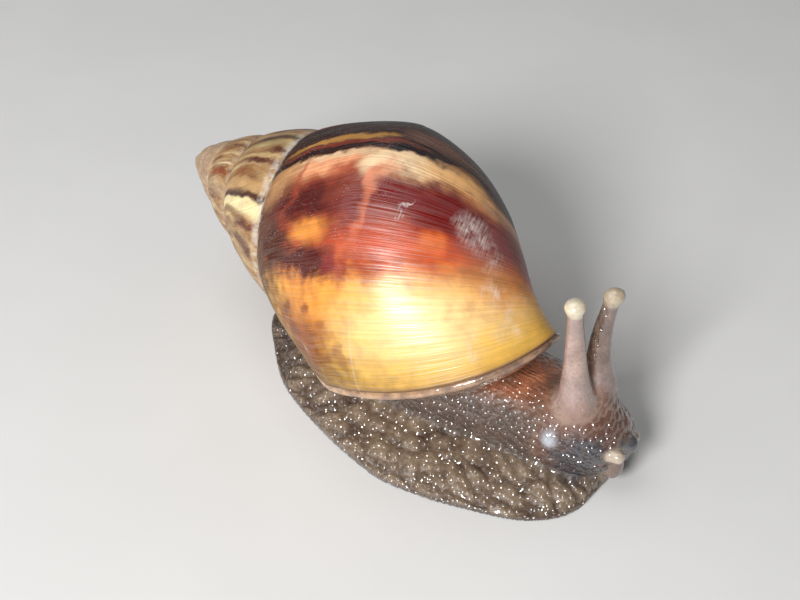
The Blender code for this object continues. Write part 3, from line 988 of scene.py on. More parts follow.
        # The mucus over each grain is steep enough to bend the key light into its own glint.
        film = add("MapRange", {0: mask[Mask.WARM], 3: 1.0, 4: 0.45})
        tall = self.grains(add, mask, solid)
        drops = add("Bump", {"Strength": 1.0, "Distance": 0.58 * MM, "Height": tall})
        ridged = add("Math", {0: folds, 1: folded}, operation="MULTIPLY")
        ridges = add("Bump", {"Strength": 1.0, "Distance": 0.10 * MM, "Height": ridged})
        bump = {"Strength": 1.0, "Distance": 0.10 * MM, "Height": tall, "Normal": ridges}
        bump = add("Bump", bump)
        fine = {"Strength": 0.35, "Distance": 0.05 * MM, "Height": grain, "Normal": bump}
        fine = add("Bump", fine)
        surface = {
            "Base Color": colour, "Roughness": rough, "IOR": 1.38, "Subsurface Weight": 0.2,
            "Subsurface Radius": (1.0, 0.5, 0.35), "Subsurface Scale": 0.7 * MM, "Normal": fine,
            "Coat Weight": film, "Coat Roughness": 0.08, "Coat IOR": 1.9, "Coat Normal": drops,
        }
        feed(shader, surface)
        return material


@dataclass(frozen=True)
class EyeFinish:
    """A snail's eye: dark pigment in a clear round cup, wet and very glossy, paler at its rim."""

    pigment: str = "#15110f"
    edge: str = "#4a3d36"

    def make(self) -> bpy.types.Material:
        """Builds the eye's material.

        Returns:
            The material.
        """
        material, shader, add = blank_material("wet_eye_pigment")
        solid = add("TexCoord").outputs["Object"]
        mottle = add("TexNoise", {"Vector": solid, "Scale": 5000.0, "Detail": 3.0})
        colour = add("ValToRGB", {0: mottle}, stops=((0.45, self.pigment), (0.75, self.edge)))
        surface = {"Base Color": colour, "Roughness": 0.12}
        surface |= {"Coat Weight": 1.0, "Coat Roughness": 0.03}
        feed(shader, surface)
        return material


@dataclass(frozen=True)
class FloorFinish:
    """Matt painted board: pale, even, with the faintest mottle."""

    light: str = "#e4e3e1"
    dark: str = "#e2e1df"

    def make(self) -> bpy.types.Material:
        """Builds the floor's material.

        Returns:
            The material.
        """
        material, shader, add = blank_material("matt_pale_board")
        solid = add("TexCoord").outputs["Object"]
        mottle = add("TexNoise", {"Vector": solid, "Scale": 30.0})
        colour = add("ValToRGB", {0: mottle}, stops=((0.4, self.dark), (0.6, self.light)))
        feed(shader, {"Base Color": colour, "Roughness": 0.7})
        return material


# ---------------------------------------------------------------- shell


@dataclass
class Shell:
    """The coiled shell: a profile turned about the axis while it grows by a fixed factor."""

    shift: Vector
    apex: Point = (-53.1 * MM, 2.1 * MM, 24.4 * MM)
    lip_radius: float = 26.7 * MM
    radial_growth: float = 1.569
    axial_growth: float = 1.765
    lip_turn: float = math.radians(19.8)
    periphery_height: float = 57.1 * MM
    base_height: float = 94.7 * MM
    shoulder_length: float = 3.3 * MM
    shoulder_angle: float = math.radians(36.7)
    periphery_up: float = 4.9 * MM
    periphery_down: float = 14.6 * MM
    base_fullness: float = 15.6 * MM
    base_slope: float = math.radians(4.0)
    suture_share: float = 0.04
    lip_slant: tuple[float, float, float, float] = (-0.527, -0.124, -0.410, -0.550)
    lip_retreat: float = 0.045
    whorls: int = 6
    rows: int = 400
    shoulder_columns: int = 20
    base_columns: int = 52
    dome: float = 0.9 * MM
    rib_height: float = 0.034 * MM
    rib_turn: float = 0.062
    fine_rib_turn: float = 0.13
    swell_height: float = 0.10 * MM
    swell_turn: float = 0.42
    tooth_height: float = 0.12 * MM
    tooth_turn: float = 0.075
    dent_height: float = 0.16 * MM
    dent_width: float = 9.0 * MM
    # Each ring inside the mouth: its inset from the lip and its rise across it, in mm.
    mouth_rings: tuple[tuple[float, float], ...] = ((0.18, -0.26), (0.6, -0.42), (1.2, 0.1), (1.9, 0.9))
    mouth_rise: float = 1.2
    mouth_place: tuple[float, float] = (0.06, 0.3)

    def profile(self) -> np.ndarray:
        """The profile at the lip, from the suture to the base.

        Returns:
            Rows of radius, height, slant and share.
        """
        periphery = (self.lip_radius, self.periphery_height)
        lower = (
            periphery,
            (self.lip_radius, self.periphery_height + self.periphery_down),
            (
                self.base_fullness * math.cos(self.base_slope),
                self.base_height - self.base_fullness * math.sin(self.base_slope),
            ),
            (0.0, self.base_height),
        )
        attached = bezier(lower, np.array([self.suture_share]))[0]
        suture = (attached[0] / self.radial_growth, attached[1] / self.axial_growth)
        shoulder = (
            suture[0] + self.shoulder_length * math.cos(self.shoulder_angle),
            suture[1] + self.shoulder_length * math.sin(self.shoulder_angle),
        )
        above = (self.lip_radius, self.periphery_height - self.periphery_up)
        upper = (suture, shoulder, above, periphery)
        before = np.linspace(-1.0, 0.0, self.shoulder_columns, endpoint=False)
        after = np.linspace(self.suture_share, 1.0, self.base_columns + 1)
        places = np.concatenate([bezier(upper, before + 1.0), bezier(lower, after)])
        share = np.concatenate([before, after])
        first, second, third, corner = self.lip_slant
        slant = first * share + second * share**2 + third * share**3
        slant += corner * np.maximum(share, 0.0) ** 6 - self.lip_retreat
        return np.column_stack([places, slant, share])

    def carried(self, radius: np.ndarray, height: np.ndarray, angle: np.ndarray) -> np.ndarray:
        """Profile points carried round the axis to an angle, where 0 is the lip.

        Args:
            radius: distance from the axis at the lip.
            height: distance from the apex at the lip.
            angle: how far to carry each point, in radians.

        Returns:
            The points, in metres.
        """
        growth = angle / math.tau
        out = radius * self.radial_growth**growth
        along = height * self.axial_growth**growth
        turn = angle + self.lip_turn
        place = np.stack([along, -out * np.cos(turn), -out * np.sin(turn)], -1)
        return place + np.array(self.apex) + np.array(self.shift)

    def lip(self) -> np.ndarray:
        """The lip's edge, from the suture to the base."""
        profile = self.profile()
        return self.carried(profile[:, 0], profile[:, 1], profile[:, 2])

    def relief(self, turn: np.ndarray, share: np.ndarray, points: np.ndarray) -> np.ndarray:
        """How far the surface stands out: growth ribs, slow swells, dents and sutural teeth.

        Args:
            turn: the growth angle of each point.
            share: its place on the profile.
            points: where it is.

        Returns:
            Heights in metres.
        """
        size = self.radial_growth ** (turn / math.tau)
        fade = 1.0 - smoothstep(0.80, 1.0, share)
        fine_ribs = 0.7 * wander(turn / self.fine_rib_turn + share, Seed.FINE_RIBS)
        ribs = self.rib_height * (wander(turn / self.rib_turn, Seed.RIBS) + fine_ribs)
        swell = self.swell_height * wander(turn / self.swell_turn + 0.5 * share, Seed.SWELLS)
        near_suture = 1.0 - smoothstep(-1.0, -0.80, share)
        teeth = self.tooth_height * near_suture * wander(turn / self.tooth_turn, Seed.TEETH)
        flat = points.reshape(-1, 3) / self.dent_width
        dents = np.array([noise.noise(p) for p in flat]).reshape(turn.shape)
        return (ribs + swell + teeth + self.dent_height * dents) * size * fade

    def surface(self, profile: np.ndarray, turn: np.ndarray) -> np.ndarray:
        """The profile carried along the whole coil, with its relief.

        Args:
            profile: the profile at the lip.
            turn: the growth angle at each row and column.

        Returns:
            A point for each row and column, in metres.
        """
        share = np.broadcast_to(profile[:, 3], turn.shape)
        grid = self.carried(profile[:, 0], profile[:, 1], turn + profile[:, 2])
        normal = np.cross(np.gradient(grid, axis=1), np.gradient(grid, axis=0))
        normal /= np.linalg.norm(normal, axis=2, keepdims=True) + 1e-12
        outward = grid - np.array(self.apex) - np.array(self.shift)
        outward[..., 0] = 0.0
        normal *= np.sign((normal * outward).sum(2, keepdims=True) + 1e-15)
        normal[:, -1] = (1.0, 0.0, 0.0)
        return grid + normal * self.relief(turn, share, grid)[..., None]

    def build(self) -> bpy.types.Object:
        """Builds the shell with its growth map, closed across its crown and its mouth.

        Returns:
            The shell's object, at the origin.
        """
        profile = self.profile()
        attach, last = self.shoulder_columns, len(profile) - 1
        total = self.whorls * self.rows
        first_bare = total - self.rows
        step = (math.tau + profile[attach, 2] - profile[0, 2]) / self.rows
        turn = (np.arange(total + 1) - total)[:, None] * step + np.zeros(last + 1)

        # Older whorls are bare only down to the suture, where the next whorl shares their points.
        index = np.full(turn.shape, -1)
        kept = np.zeros(turn.shape, bool)
        kept[:, : attach + 1] = True
        kept[first_bare:] = True
        kept[self.rows :, 0] = False
        index[kept] = np.arange(kept.sum())
        index[self.rows :, 0] = index[: total + 1 - self.rows, attach]
        draft = Draft(self.surface(profile, turn)[kept])
        for rows, columns in (
            (range(total), range(attach)),
            (range(first_bare, total), range(attach, last)),
        ):
            r, c = (grid.ravel() for grid in np.meshgrid(rows, columns, indexing="ij"))
            r, c = np.stack([r, r + 1, r + 1, r], 1), np.stack([c, c, c + 1, c + 1], 1)
            draft.faces += index[r, c].tolist()
            places = np.stack([(r - total) * step, profile[c, 3]], -1)
            draft.growth.append(places.reshape(-1, 2))

        crown = index[0, attach::-1].tolist() + index[1 : self.rows, 0].tolist()
        edge = draft.points[crown]
        pole = np.array([edge[:, 0].min() - self.dome, *edge.mean(0)[1:]])
        draft.fan(crown, pole, (-total * step, -0.5))

        mouth = index[total, : last + 1].tolist()
        mouth += index[total - 1 : first_bare - 1 : -1, last].tolist()
        mouth += index[first_bare, last - 1 : attach : -1].tolist()
        edge = draft.points[mouth]
        centre = edge.mean(0)
        inwards = centre - edge
        inwards /= np.linalg.norm(inwards, axis=1, keepdims=True)
        up = np.cross(edge[last] - edge[0], edge[last // 2] - edge[0])
        up /= np.linalg.norm(up)
        up *= np.sign(up[2])
        rings = [mouth]
        for inset, rise in self.mouth_rings:
            rings.append(draft.grow(edge + inwards * inset * MM + up * rise * MM))
        for outer, inner in zip(rings, rings[1:]):
            draft.band(outer, inner, self.mouth_place)
        draft.fan(rings[-1], centre + up * self.mouth_rise * MM, self.mouth_place)
        return draft.build("shell_coil")

    def make(self) -> bpy.types.Object:
        """Returns:
            The shell's object.
        """
        obj = self.build()
        obj.data.materials.append(ShellFinish().make())
        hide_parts("shell")
        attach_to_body(obj, BODY)
        LOG.info("shell_coil: %d faces", len(obj.data.polygons))
        return obj


# ---------------------------------------------------------------- skin


@dataclass(frozen=True)
class Station:
    """One ring of a swept blank: its middle and half its width and height, in metres."""

    centre: Vector
    half_width: float
    half_height: float


def sweep(
    name: str, outline: Sequence[tuple[float, float]], stations: Sequence[Station], turn: Matrix
) -> bpy.types.Object:
    """Extrudes an outline through stations, scaled at each one, into a closed blank.

    Args:
        name: the blank's name.
        outline: the ring's points, as shares of the half width and half height.
        stations: the rings, in order.
        turn: turns the ring's plane, which is across X before it.

    Returns:
        The blank.
    """
    pick()
    bpy.ops.mesh.primitive_circle_add(vertices=len(outline), radius=MM, fill_type="NGON")
    obj = bpy.context.object
    obj.name = name
    first = stations[0]
    for vertex, (across, up) in zip(obj.data.vertices, outline):
        arm = Vector((0.0, across * first.half_width, up * first.half_height))
        vertex.co = first.centre + turn @ arm
    bpy.ops.object.mode_set(mode="EDIT")
    bpy.ops.mesh.select_all(action="SELECT")
    for before, after in zip(stations, stations[1:]):
        move = after.centre - before.centre
        bpy.ops.mesh.extrude_region_move(TRANSFORM_OT_translate={"value": move})
        wider = after.half_width / before.half_width
        higher = after.half_height / before.half_height
        bpy.ops.transform.resize(value=(wider, wider, higher), center_override=after.centre)
    bpy.ops.object.mode_set(mode="OBJECT")
    face_outwards(obj)
    return obj


@dataclass
class Foot:
    """The foot's blank: a flat sole, a thin rim and sloping sides.

    widths and heights give mm at a share of the length from the tail. section is one side of a
    ring, as shares of the half width and the height.
    """

    tail_x: float = -31.0 * MM
    length: float = 74.5 * MM
    middle_y: float = 0.5 * MM
    widths: tuple[tuple[float, float], ...] = (
        (0.00, 0.0), (0.02, 4.4), (0.09, 9.8), (0.22, 17.2), (0.34, 20.6), (0.47, 23.0),
        (0.58, 24.0), (0.70, 22.4), (0.80, 19.8), (0.89, 16.9), (0.95, 13.4), (0.985, 9.0),
        (1.00, 0.0),
    )
    heights: tuple[tuple[float, float], ...] = (
        (0.00, 1.2), (0.08, 3.0), (0.20, 5.6), (0.32, 7.4), (0.45, 8.2), (0.60, 7.4), (0.78, 6.2),
        (0.90, 4.8), (0.97, 3.2), (1.00, 1.4),
    )
    section: tuple[tuple[float, float], ...] = (
        (0.955, 0.0), (0.99, 0.07), (1.0, 0.17), (0.975, 0.27), (0.88, 0.42), (0.75, 0.60),
        (0.60, 0.78), (0.42, 0.92), (0.20, 0.99), (0.0, 1.0),
    )
    far_share: float = 0.84
    stations: int = 110
    first: float = 0.06
    last: float = 0.94
    side_points: int = 26

    def blank(self, shift: Vector) -> bpy.types.Object:
        """Sweeps the foot from tail to front, moved by the shift.

        Args:
            shift: how far packing moved the solids.

        Returns:
            The blank.
        """
        turns = np.linspace(self.first, self.last, self.stations)
        shares = 0.5 - 0.5 * np.cos(np.pi * turns)
        widths = smooth_columns(self.widths, shares)[:, 0] * MM
        heights = smooth_columns(self.heights, shares)[:, 0] * MM
        side = np.asarray(self.section)
        run = np.concatenate([[0.0], np.cumsum(np.hypot(*np.diff(side, axis=0).T))])
        table = np.column_stack([run, side])
        side = smooth_columns(table, np.linspace(0.0, run[-1], self.side_points))
        outline = [(-a, u) for a, u in side] + [(a * self.far_share, u) for a, u in side[-2::-1]]
        stations = [
            Station(shift + Vector((self.tail_x + self.length * share, self.middle_y, 0.0)), w, h)
            for share, w, h in zip(shares, widths, heights)
        ]
        return sweep("foot_blank", outline, stations, Matrix.Identity(3))


@dataclass
class Neck:
    """The neck and head's blank: rounded sections from under the shell to the mouth.

    A section is its place along X, centre across, lowest, highest and half width, in mm.
    """

    sections: tuple[tuple[float, ...], ...] = (
        (-12.0, -1.5, 2.0, 8.0, 8.0), (-6.0, -1.8, 1.8, 11.5, 10.5), (3.0, -1.6, 1.6, 15.0, 11.5),
        (11.0, -1.2, 1.5, 16.6, 11.2), (19.0, -0.6, 1.5, 17.2, 10.2), (25.0, 0.0, 1.5, 17.0, 9.4),
        (30.0, 0.3, 1.5, 17.0, 8.7), (34.0, 0.5, 1.6, 17.8, 8.2), (37.0, 0.8, 1.8, 17.6, 7.8),
        (39.8, 1.1, 2.2, 16.0, 7.1), (42.0, 1.5, 2.9, 14.0, 6.2), (43.6, 1.8, 3.9, 12.2, 4.9),
        (44.6, 2.0, 5.4, 10.6, 3.1),
    )
    roundness: float = 2.2
    sides: int = 48
    stations: int = 90

    def blank(self, shift: Vector) -> bpy.types.Object:
        """Sweeps the neck and head, moved by the shift.

        Args:
            shift: how far packing moved the solids.

        Returns:
            The blank.
        """
        turns = np.linspace(0.0, math.tau, self.sides, endpoint=False)
        power = 2.0 / self.roundness
        across = np.sign(np.cos(turns)) * np.abs(np.cos(turns)) ** power
        up = np.sign(np.sin(turns)) * np.abs(np.sin(turns)) ** power
        outline = list(zip(across.tolist(), up.tolist()))
        low, high = self.sections[0][0], self.sections[-1][0]
        places = low + (high - low) * np.sin(np.linspace(0.0, math.pi / 2, self.stations))
        stations = []
        for x, (y, bottom, top, half) in zip(places, smooth_columns(self.sections, places)):
            centre = shift + Vector((x, y, (bottom + top) / 2)) * MM
            stations.append(Station(centre, half * MM, (top - bottom) / 2 * MM))
        return sweep("neck_blank", outline, stations, Matrix.Identity(3))


@dataclass(frozen=True)
class Feeler:
    """One feeler's blank: a tapering stalk from root to tip, bowed at its middle, in mm.

    Each of the radii follows its share of the way from root to tip.
    """

    name: str
    root: Point
    tip: Point
    radii: tuple[tuple[float, float], ...]
    bow: Point = (0.0, 0.0, 0.0)
    sides: int = 28
    stations: int = 60

    def blank(self, shift: Vector) -> bpy.types.Object:
        """Sweeps the feeler, moved by the shift.

        Args:
            shift: how far packing moved the solids.

        Returns:
            The blank.
        """
        root = Vector(self.root) * MM + shift
        axis = Vector(self.tip) * MM + shift - root
        turns = np.linspace(0.0, math.tau, self.sides, endpoint=False)
        outline = list(zip(np.cos(turns).tolist(), np.sin(turns).tolist()))
        shares = np.linspace(self.radii[0][0], self.radii[-1][0], self.stations)
        radii = smooth_columns(self.radii, shares)[:, 0] * MM
        stations = []
        for share, radius in zip(shares, radii):
            bow = Vector(self.bow) * MM * math.sin(math.pi * max(share, 0.0))
            stations.append(Station(root + axis * float(share) + bow, radius, radius))
        turn = axis.to_track_quat("X", "Z").to_matrix()
        return sweep(self.name, outline, stations, turn)


# Shares of the way from root to tip, and the radius there in mm.
UPPER_RADII = (
    (-0.12, 4.0), (0.0, 3.5), (0.10, 2.9), (0.22, 2.35), (0.40, 1.95), (0.60, 1.65), (0.78, 1.42),
    (0.86, 1.38), (0.89, 1.58), (0.93, 1.84), (0.965, 1.6), (0.99, 0.95), (0.998, 0.4),
)
LOWER_RADII = ((-0.3, 1.5), (0.0, 1.35), (0.45, 1.2), (0.8, 1.15), (0.95, 0.8), (1.0, 0.4))


@dataclass
class Mantle:
    """The mantle's blank: layers of the mouth's outline, a bead under the shell's lip.

    Each layer is a drop below the lip and an inset from its edge, in mm.
    """

    layers: tuple[tuple[float, float], ...] = (
        (-2.0, 1.6), (0.32, 0.45), (0.9, -0.05), (1.6, 0.25), (2.3, 1.4), (4.2, 4.5),
    )
    bulge: float = 5.0 * MM
    inner_points: int = 30
    steps: int = 16
    wave: float = 0.12 * MM
    wave_length: float = 2.4 * MM
    roll: float = 0.9 * MM
    roll_spread: float = 3.2 * MM

    def blank(self, lip: np.ndarray) -> bpy.types.Object:
        """Lofts the mantle from the lip's edge.

        Args:
            lip: the lip's points, from the suture to the base.

        Returns:
            The blank.
        """
        chord = lip[0] - lip[-1]
        normal = np.cross(chord, lip[len(lip) // 2] - lip[-1])
        normal *= -np.sign(normal[2]) / np.linalg.norm(normal)
        across = np.cross(chord, normal)
        across *= np.sign(across[1]) / np.linalg.norm(across)
        t = np.linspace(0.0, 1.0, self.inner_points + 2)[1:-1, None]
        inner = lip[-1] + chord * t + across * self.bulge * np.sin(np.pi * t)
        outline = np.concatenate([lip, inner])
        arm = outline - outline.mean(0)
        arm /= np.linalg.norm(arm, axis=1, keepdims=True)
        drops = np.linspace(self.layers[0][0], self.layers[-1][0], self.steps)
        insets = smooth_columns(self.layers, drops)[:, 0]
        run = np.concatenate([[0.0], np.cumsum(np.linalg.norm(np.diff(outline, axis=0), axis=1))])
        ripple = self.wave * wander(run / self.wave_length, Seed.MANTLE)
        # At the lip's front corner the mantle rolls out past the shell's edge.
        corner = lip[np.argmax(lip[:, 0] + lip[:, 1])]
        near = np.exp(-((np.linalg.norm(outline - corner, axis=1) / self.roll_spread) ** 2))
        rolled = self.roll * smoothstep(-0.3, 0.3, drops) * smoothstep(2.3, 1.6, drops)
        rings = [
            outline + arm * (near * out - inset * MM - ripple)[:, None] + normal * drop * MM
            for drop, inset, out in zip(drops, insets, rolled)
        ]
        count, last = len(outline), (len(rings) - 1) * len(outline)
        faces = [list(range(count)), list(range(last + count - 1, last - 1, -1))]
        for k in range(0, last, count):
            for i in range(count):
                j = (i + 1) % count
                faces.append([k + i, k + j, k + count + j, k + count + i])
        return Draft(np.concatenate(rings), faces).build("mantle_blank")


@dataclass(frozen=True)
class SkinGround:
    """The filleted skin that relief and masks are worked out on.

    body holds its points in mm where the solids were drawn, pore each one's distance from the
    breathing pore, and seam how near it is to the join of foot and neck.
    """

    near: Neighbours
    masks: dict[Mask, np.ndarray]
    points: np.ndarray
    normals: np.ndarray
    body: np.ndarray
    pore: np.ndarray
    seam: np.ndarray

    def parts(self) -> list[np.ndarray]:
        """The masks of the foot, neck, head, feelers and mantle."""
        return [self.masks[m] for m in (Mask.FOOT, Mask.NECK, Mask.HEAD, Mask.FEELER, Mask.MANTLE)]


@dataclass
class Skin:
    """One skin over every soft part, without a seam, wet and tubercled.

    Its features' places and sizes are in mm, where the solids were drawn.
    """

    shift: Vector
    voxel: float = 0.36 * MM
    room: float = 0.2 * MM
    sink: float = 0.03 * MM
    merge: float = 0.002 * MM
    feelers: tuple[Feeler, ...] = (
        Feeler("upper_right", (36.6, -2.2, 17.6), (34.9, -2.5, 37.6), UPPER_RADII),
        Feeler("upper_left", (37.6, 3.6, 16.8), (38.0, 4.6, 36.8), UPPER_RADII, (-0.9, -0.6, 0.0)),
        Feeler("lower_right", (42.2, -1.9, 9.2), (46.4, -1.5, 9.4), LOWER_RADII),
        Feeler("lower_left", (41.8, 4.8, 7.8), (45.0, 6.1, 7.4), LOWER_RADII),
    )
    lips: tuple[tuple[float, ...], ...] = ((43.8, 0.5, 9.9, 1.4), (44.8, 2.7, 8.8, 1.65))
    flaps: tuple[Point, ...] = ((43.9, -0.2, 5.7), (42.8, 4.0, 5.3))
    flap_radii: Point = (1.75, 2.0, 2.9)
    pore: Point = (35.4, -7.1, 11.5)
    pore_radius: float = 1.3
    collars: tuple[tuple[Point, Point], ...] = (
        ((37.4, -4.4, 18.9), (3.4, 3.6, 4.4)),
        ((38.6, 3.0, 18.0), (2.4, 2.4, 3.2)),
    )
    shadow_side: Point = (-0.78, -0.63, 0.0)
    dark_patch_place: Point = (40.3, -4.9, 8.3)
    dark_patch_radii: Point = (5.0, 4.3, 4.4)
    dark_patch_grain: float = 1.6
    blush_size: float = 2.6
    knob_size: float = 1.7
    grain_size: float = 0.95
    foot_middle: tuple[float, float] = (7.0, 0.0)
    foot_half: tuple[float, float] = (38.0, 22.0)
    neck_radius: float = 9.5
    fold_gap: float = 0.72
    regions: dict[Mask, tuple[str, ...]] = field(
        default_factory=lambda: {
            Mask.FOOT: ("foot_tail", "foot_middle", "foot_front"),
            Mask.NECK: ("neck",),
            Mask.HEAD: ("head",),
            Mask.FEELER: ("feeler_upper_right", "feeler_upper_left"),
            Mask.MANTLE: ("mantle",),
            Mask.LIP: ("lip_right", "lip_left"),
            Mask.NUB: ("feeler_lower_right", "feeler_lower_left"),
            Mask.FLAP: ("flap_right", "flap_left"),
        }
    )

    def blanks(self, lip: np.ndarray) -> list[bpy.types.Object]:
        """Builds every blank that the skin is drawn over.

        Args:
            lip: the points of the shell's lip.

        Returns:
            The foot, neck and mantle first, which are trimmed from the shell.
        """
        made = [Foot().blank(self.shift), Neck().blank(self.shift), Mantle().blank(lip)]
        made += [feeler.blank(self.shift) for feeler in self.feelers]
        balls = [("lip_blank", (x, y, z), (radius,) * 3) for x, y, z, radius in self.lips]
        balls += [("flap_blank", centre, self.flap_radii) for centre in self.flaps]
        for name, centre, radii in balls:
            made.append(ball(name, Vector(centre) * MM + self.shift, MM, radii))
        return made

    def shell_room(self) -> bpy.types.Object:
        """A copy of the shell's solid, grown by the room that the skin keeps from it.

        Returns:
            The grown copy.
        """
        source = frame["nodes"]["shell"]
        room = place_object("shell_room", source.data.copy())
        pick(room)
        bpy.ops.object.mode_set(mode="EDIT")
        bpy.ops.mesh.select_all(action="SELECT")
        bpy.ops.mesh.remove_doubles(threshold=self.merge)
        bpy.ops.object.mode_set(mode="OBJECT")
        finish_with(room, "DISPLACE", strength=self.room, mid_level=0.0)
        return room

    def drape(self, lip: np.ndarray) -> bpy.types.Object:
        """Joins the blanks, trims them from the shell and draws one even skin over them.

        Args:
            lip: the points of the shell's lip.

        Returns:
            The skin, before its relief.
        """
        room = self.shell_room()
        made = self.blanks(lip)
        for blank in made[:3]:
            finish_with(blank, "BOOLEAN", operation="DIFFERENCE", solver="EXACT", object=room)
        bpy.data.objects.remove(room, do_unlink=True)
        pick(*made)
        bpy.ops.object.join()
        skin = bpy.context.object
        skin.name = "skin"
        skin.data.name = "skin"
        finish_with(skin, "REMESH", mode="VOXEL", voxel_size=self.voxel, adaptivity=0.0)
        finish_with(skin, "SMOOTH", factor=0.5, iterations=5)
        self.keep_outer(skin)
        bpy.ops.object.shade_smooth()
        return skin

    def keep_outer(self, skin: bpy.types.Object) -> None:
        """Removes any closed bubble inside the skin, leaving its one outer body.

        Args:
            skin: the skin as it was drawn over the blanks.
        """
        edges = Neighbours(skin).edges
        label = np.arange(len(skin.data.vertices))
        while True:
            lowest = label.copy()
            np.minimum.at(lowest, edges[:, 0], label[edges[:, 1]])
            np.minimum.at(lowest, edges[:, 1], label[edges[:, 0]])
            lowest = lowest[lowest]
            if (lowest == label).all():
                break
            label = lowest
        names, counts = np.unique(label, return_counts=True)
        stray = label != names[counts.argmax()]
        pick(skin)
        if stray.any():
            bpy.ops.object.mode_set(mode="EDIT")
            bpy.ops.mesh.select_all(action="DESELECT")
            bpy.ops.object.mode_set(mode="OBJECT")
            skin.data.vertices.foreach_set("select", stray)
            bpy.ops.object.mode_set(mode="EDIT")
            bpy.ops.mesh.delete(type="VERT")
            bpy.ops.object.mode_set(mode="OBJECT")

    def find_regions(self, points: np.ndarray) -> dict[Mask, np.ndarray]:
        """How much each point belongs to each soft part, by its distance from their solids.

        Args:
            points: the skin's points, in metres.

        Returns:
            For each part a share at each point; the shares of all parts add up to 1.
        """
        away = {}
        for mask, names in self.regions.items():
            verts: list = []
            faces: list = []
            for name in names:
                mesh = frame["nodes"][name].data
                base = len(verts)
                verts += [vertex.co.copy() for vertex in mesh.vertices]
                faces += [[base + i for i in polygon.vertices] for polygon in mesh.polygons]
            tree = BVHTree.FromPolygons(verts, faces)
            away[mask] = np.array([tree.find_nearest(point)[3] for point in points]) / MM
        weight = {mask: 1.0 / (gap + 0.18) ** 3 for mask, gap in away.items()}
        total = sum(weight.values())
        return {mask: value / total for mask, value in weight.items()}

    @staticmethod
    def cells(points: np.ndarray) -> np.ndarray:
        """Rounded pads on a random cell pattern of about one unit.

        Args:
            points: places, already divided by the pads' size.

        Returns:
            1 at a pad's middle, falling to 0 at the crease between pads.
        """
        first, gap = np.empty(len(points)), np.empty(len(points))
        for i, point in enumerate(points):
            near = noise.voronoi(point)[0]
            first[i], gap[i] = near[0], near[1] - near[0]
        dome = np.clip(1.0 - (first / 0.85) ** 2, 0.0, 1.0)
        pillow = 1.0 - (1.0 - np.clip(gap / 0.75, 0.0, 1.0)) ** 2
        return 0.4 * dome + 0.6 * pillow

    @staticmethod
    def fillet(
        skin: bpy.types.Object, near: Neighbours, masks: dict[Mask, np.ndarray]
    ) -> tuple[np.ndarray, np.ndarray]:
        """Rounds the joins of the foot, the feelers and the mouth's parts with the body.

        Args:
            skin: the draped skin, whose points are moved.
            near: averages over its edges.
            masks: how much each point belongs to each part.

        Returns:
            The moved points, and how near each is to the join of foot and neck.
        """
        foot, head = masks[Mask.FOOT], masks[Mask.HEAD]
        trunk = masks[Mask.NECK] + head
        small = masks[Mask.LIP] + masks[Mask.FLAP] + masks[Mask.NUB]
        seam = near.spread(np.clip(4.0 * foot * trunk, 0.0, 1.0), 6)
        root = near.spread(np.clip(4.0 * masks[Mask.FEELER] * trunk, 0.0, 1.0), 6)
        mouth = near.spread(np.clip(4.0 * small * (head + foot), 0.0, 1.0), 1)
        points = points_of(skin)
        weight = np.clip(1.5 * seam, 0.0, 1.0) * smoothstep(0.9, 2.0, points[:, 2] / MM)
        points = near.relax(points, weight, 60)
        points = near.relax(points, np.clip(4.0 * near.spread(root, 60), 0.0, 1.0), 420)
        points = near.relax(points, np.clip(mouth, 0.0, 1.0) * 0.8, 2)
        place_points(skin, points)
        return points, seam

    def emboss(self, skin: bpy.types.Object, ground: SkinGround) -> np.ndarray:
        """Presses creases between pads and grains into the skin, and its breathing pore.

        Args:
            skin: the filleted skin, whose points are moved.
            ground: where its points are, and what they belong to.

        Returns:
            How much painted shade each point takes, from 0: in the creases between pads and grains,
            under the mantle's front and on the far feeler; the foot also darkens towards its tail.
        """
        foot, neck, head, feeler, mantle = ground.parts()
        body, normals = ground.body, ground.normals
        x, y, z = body.T
        offset = (body[:, :2] - np.array(self.foot_middle)) / np.array(self.foot_half)
        angle = np.arctan2(offset[:, 1], offset[:, 0])
        ring = np.hypot(offset[:, 1], offset[:, 0])
        pads = self.cells(np.column_stack([angle * 7.2, ring * 6.2, np.full(len(z), 3.0)]))
        knobs = self.cells(body / self.knob_size)
        grains = self.cells(body / self.grain_size)
        above_sole = smoothstep(0.2, 1.3, z)
        outer = smoothstep(0.28, 0.5, ring)

        depth = foot * above_sole * (0.80 * outer * (1.0 - pads) + 0.14 * (1.0 - knobs))
        depth += (neck + head) * 0.16 * (1.0 - knobs) * smoothstep(15.0, 10.0, z)
        depth += (neck + head) * (1.0 - grains) * (0.10 - 0.05 * smoothstep(11.0, 14.0, z))
        depth += feeler * 0.02 * (1.0 - grains) + mantle * 0.05 * (1.0 - grains)
        # Painted shade, pushed into the deep tone: the creases between pads and grains, the mantle
        # towards the lip's front and the far feeler; the foot also darkens towards its tail.
        groove = foot * above_sole * (0.70 * outer * (1.0 - pads) + 0.22 * (1.0 - knobs))
        groove += foot * 0.35 * smoothstep(0.0, -22.0, x)
        groove += (0.40 * neck + 0.28 * head) * (1.0 - grains) + mantle * 0.5 * (1.0 - knobs)
        groove += mantle * 0.35 * smoothstep(12.0, 30.0, x)
        groove += feeler * 0.85 * smoothstep(0.5, 2.0, y)

        depth -= 0.75 * np.exp(-((ground.pore / self.pore_radius) ** 2))
        depth += 0.25 * np.exp(-(((ground.pore - 2.4) / 0.7) ** 2))
        depth = ground.near.spread(depth, 1) * MM
        moved = ground.points - normals * (self.sink + depth)[:, None]
        flat_sole = (z < 0.35) & (normals[:, 2] < -0.6)
        moved[flat_sole] = ground.points[flat_sole]
        moved[flat_sole, 2] = 0.0
        moved[:, 2] = np.maximum(moved[:, 2], 0.0)
        place_points(skin, moved)
        return groove

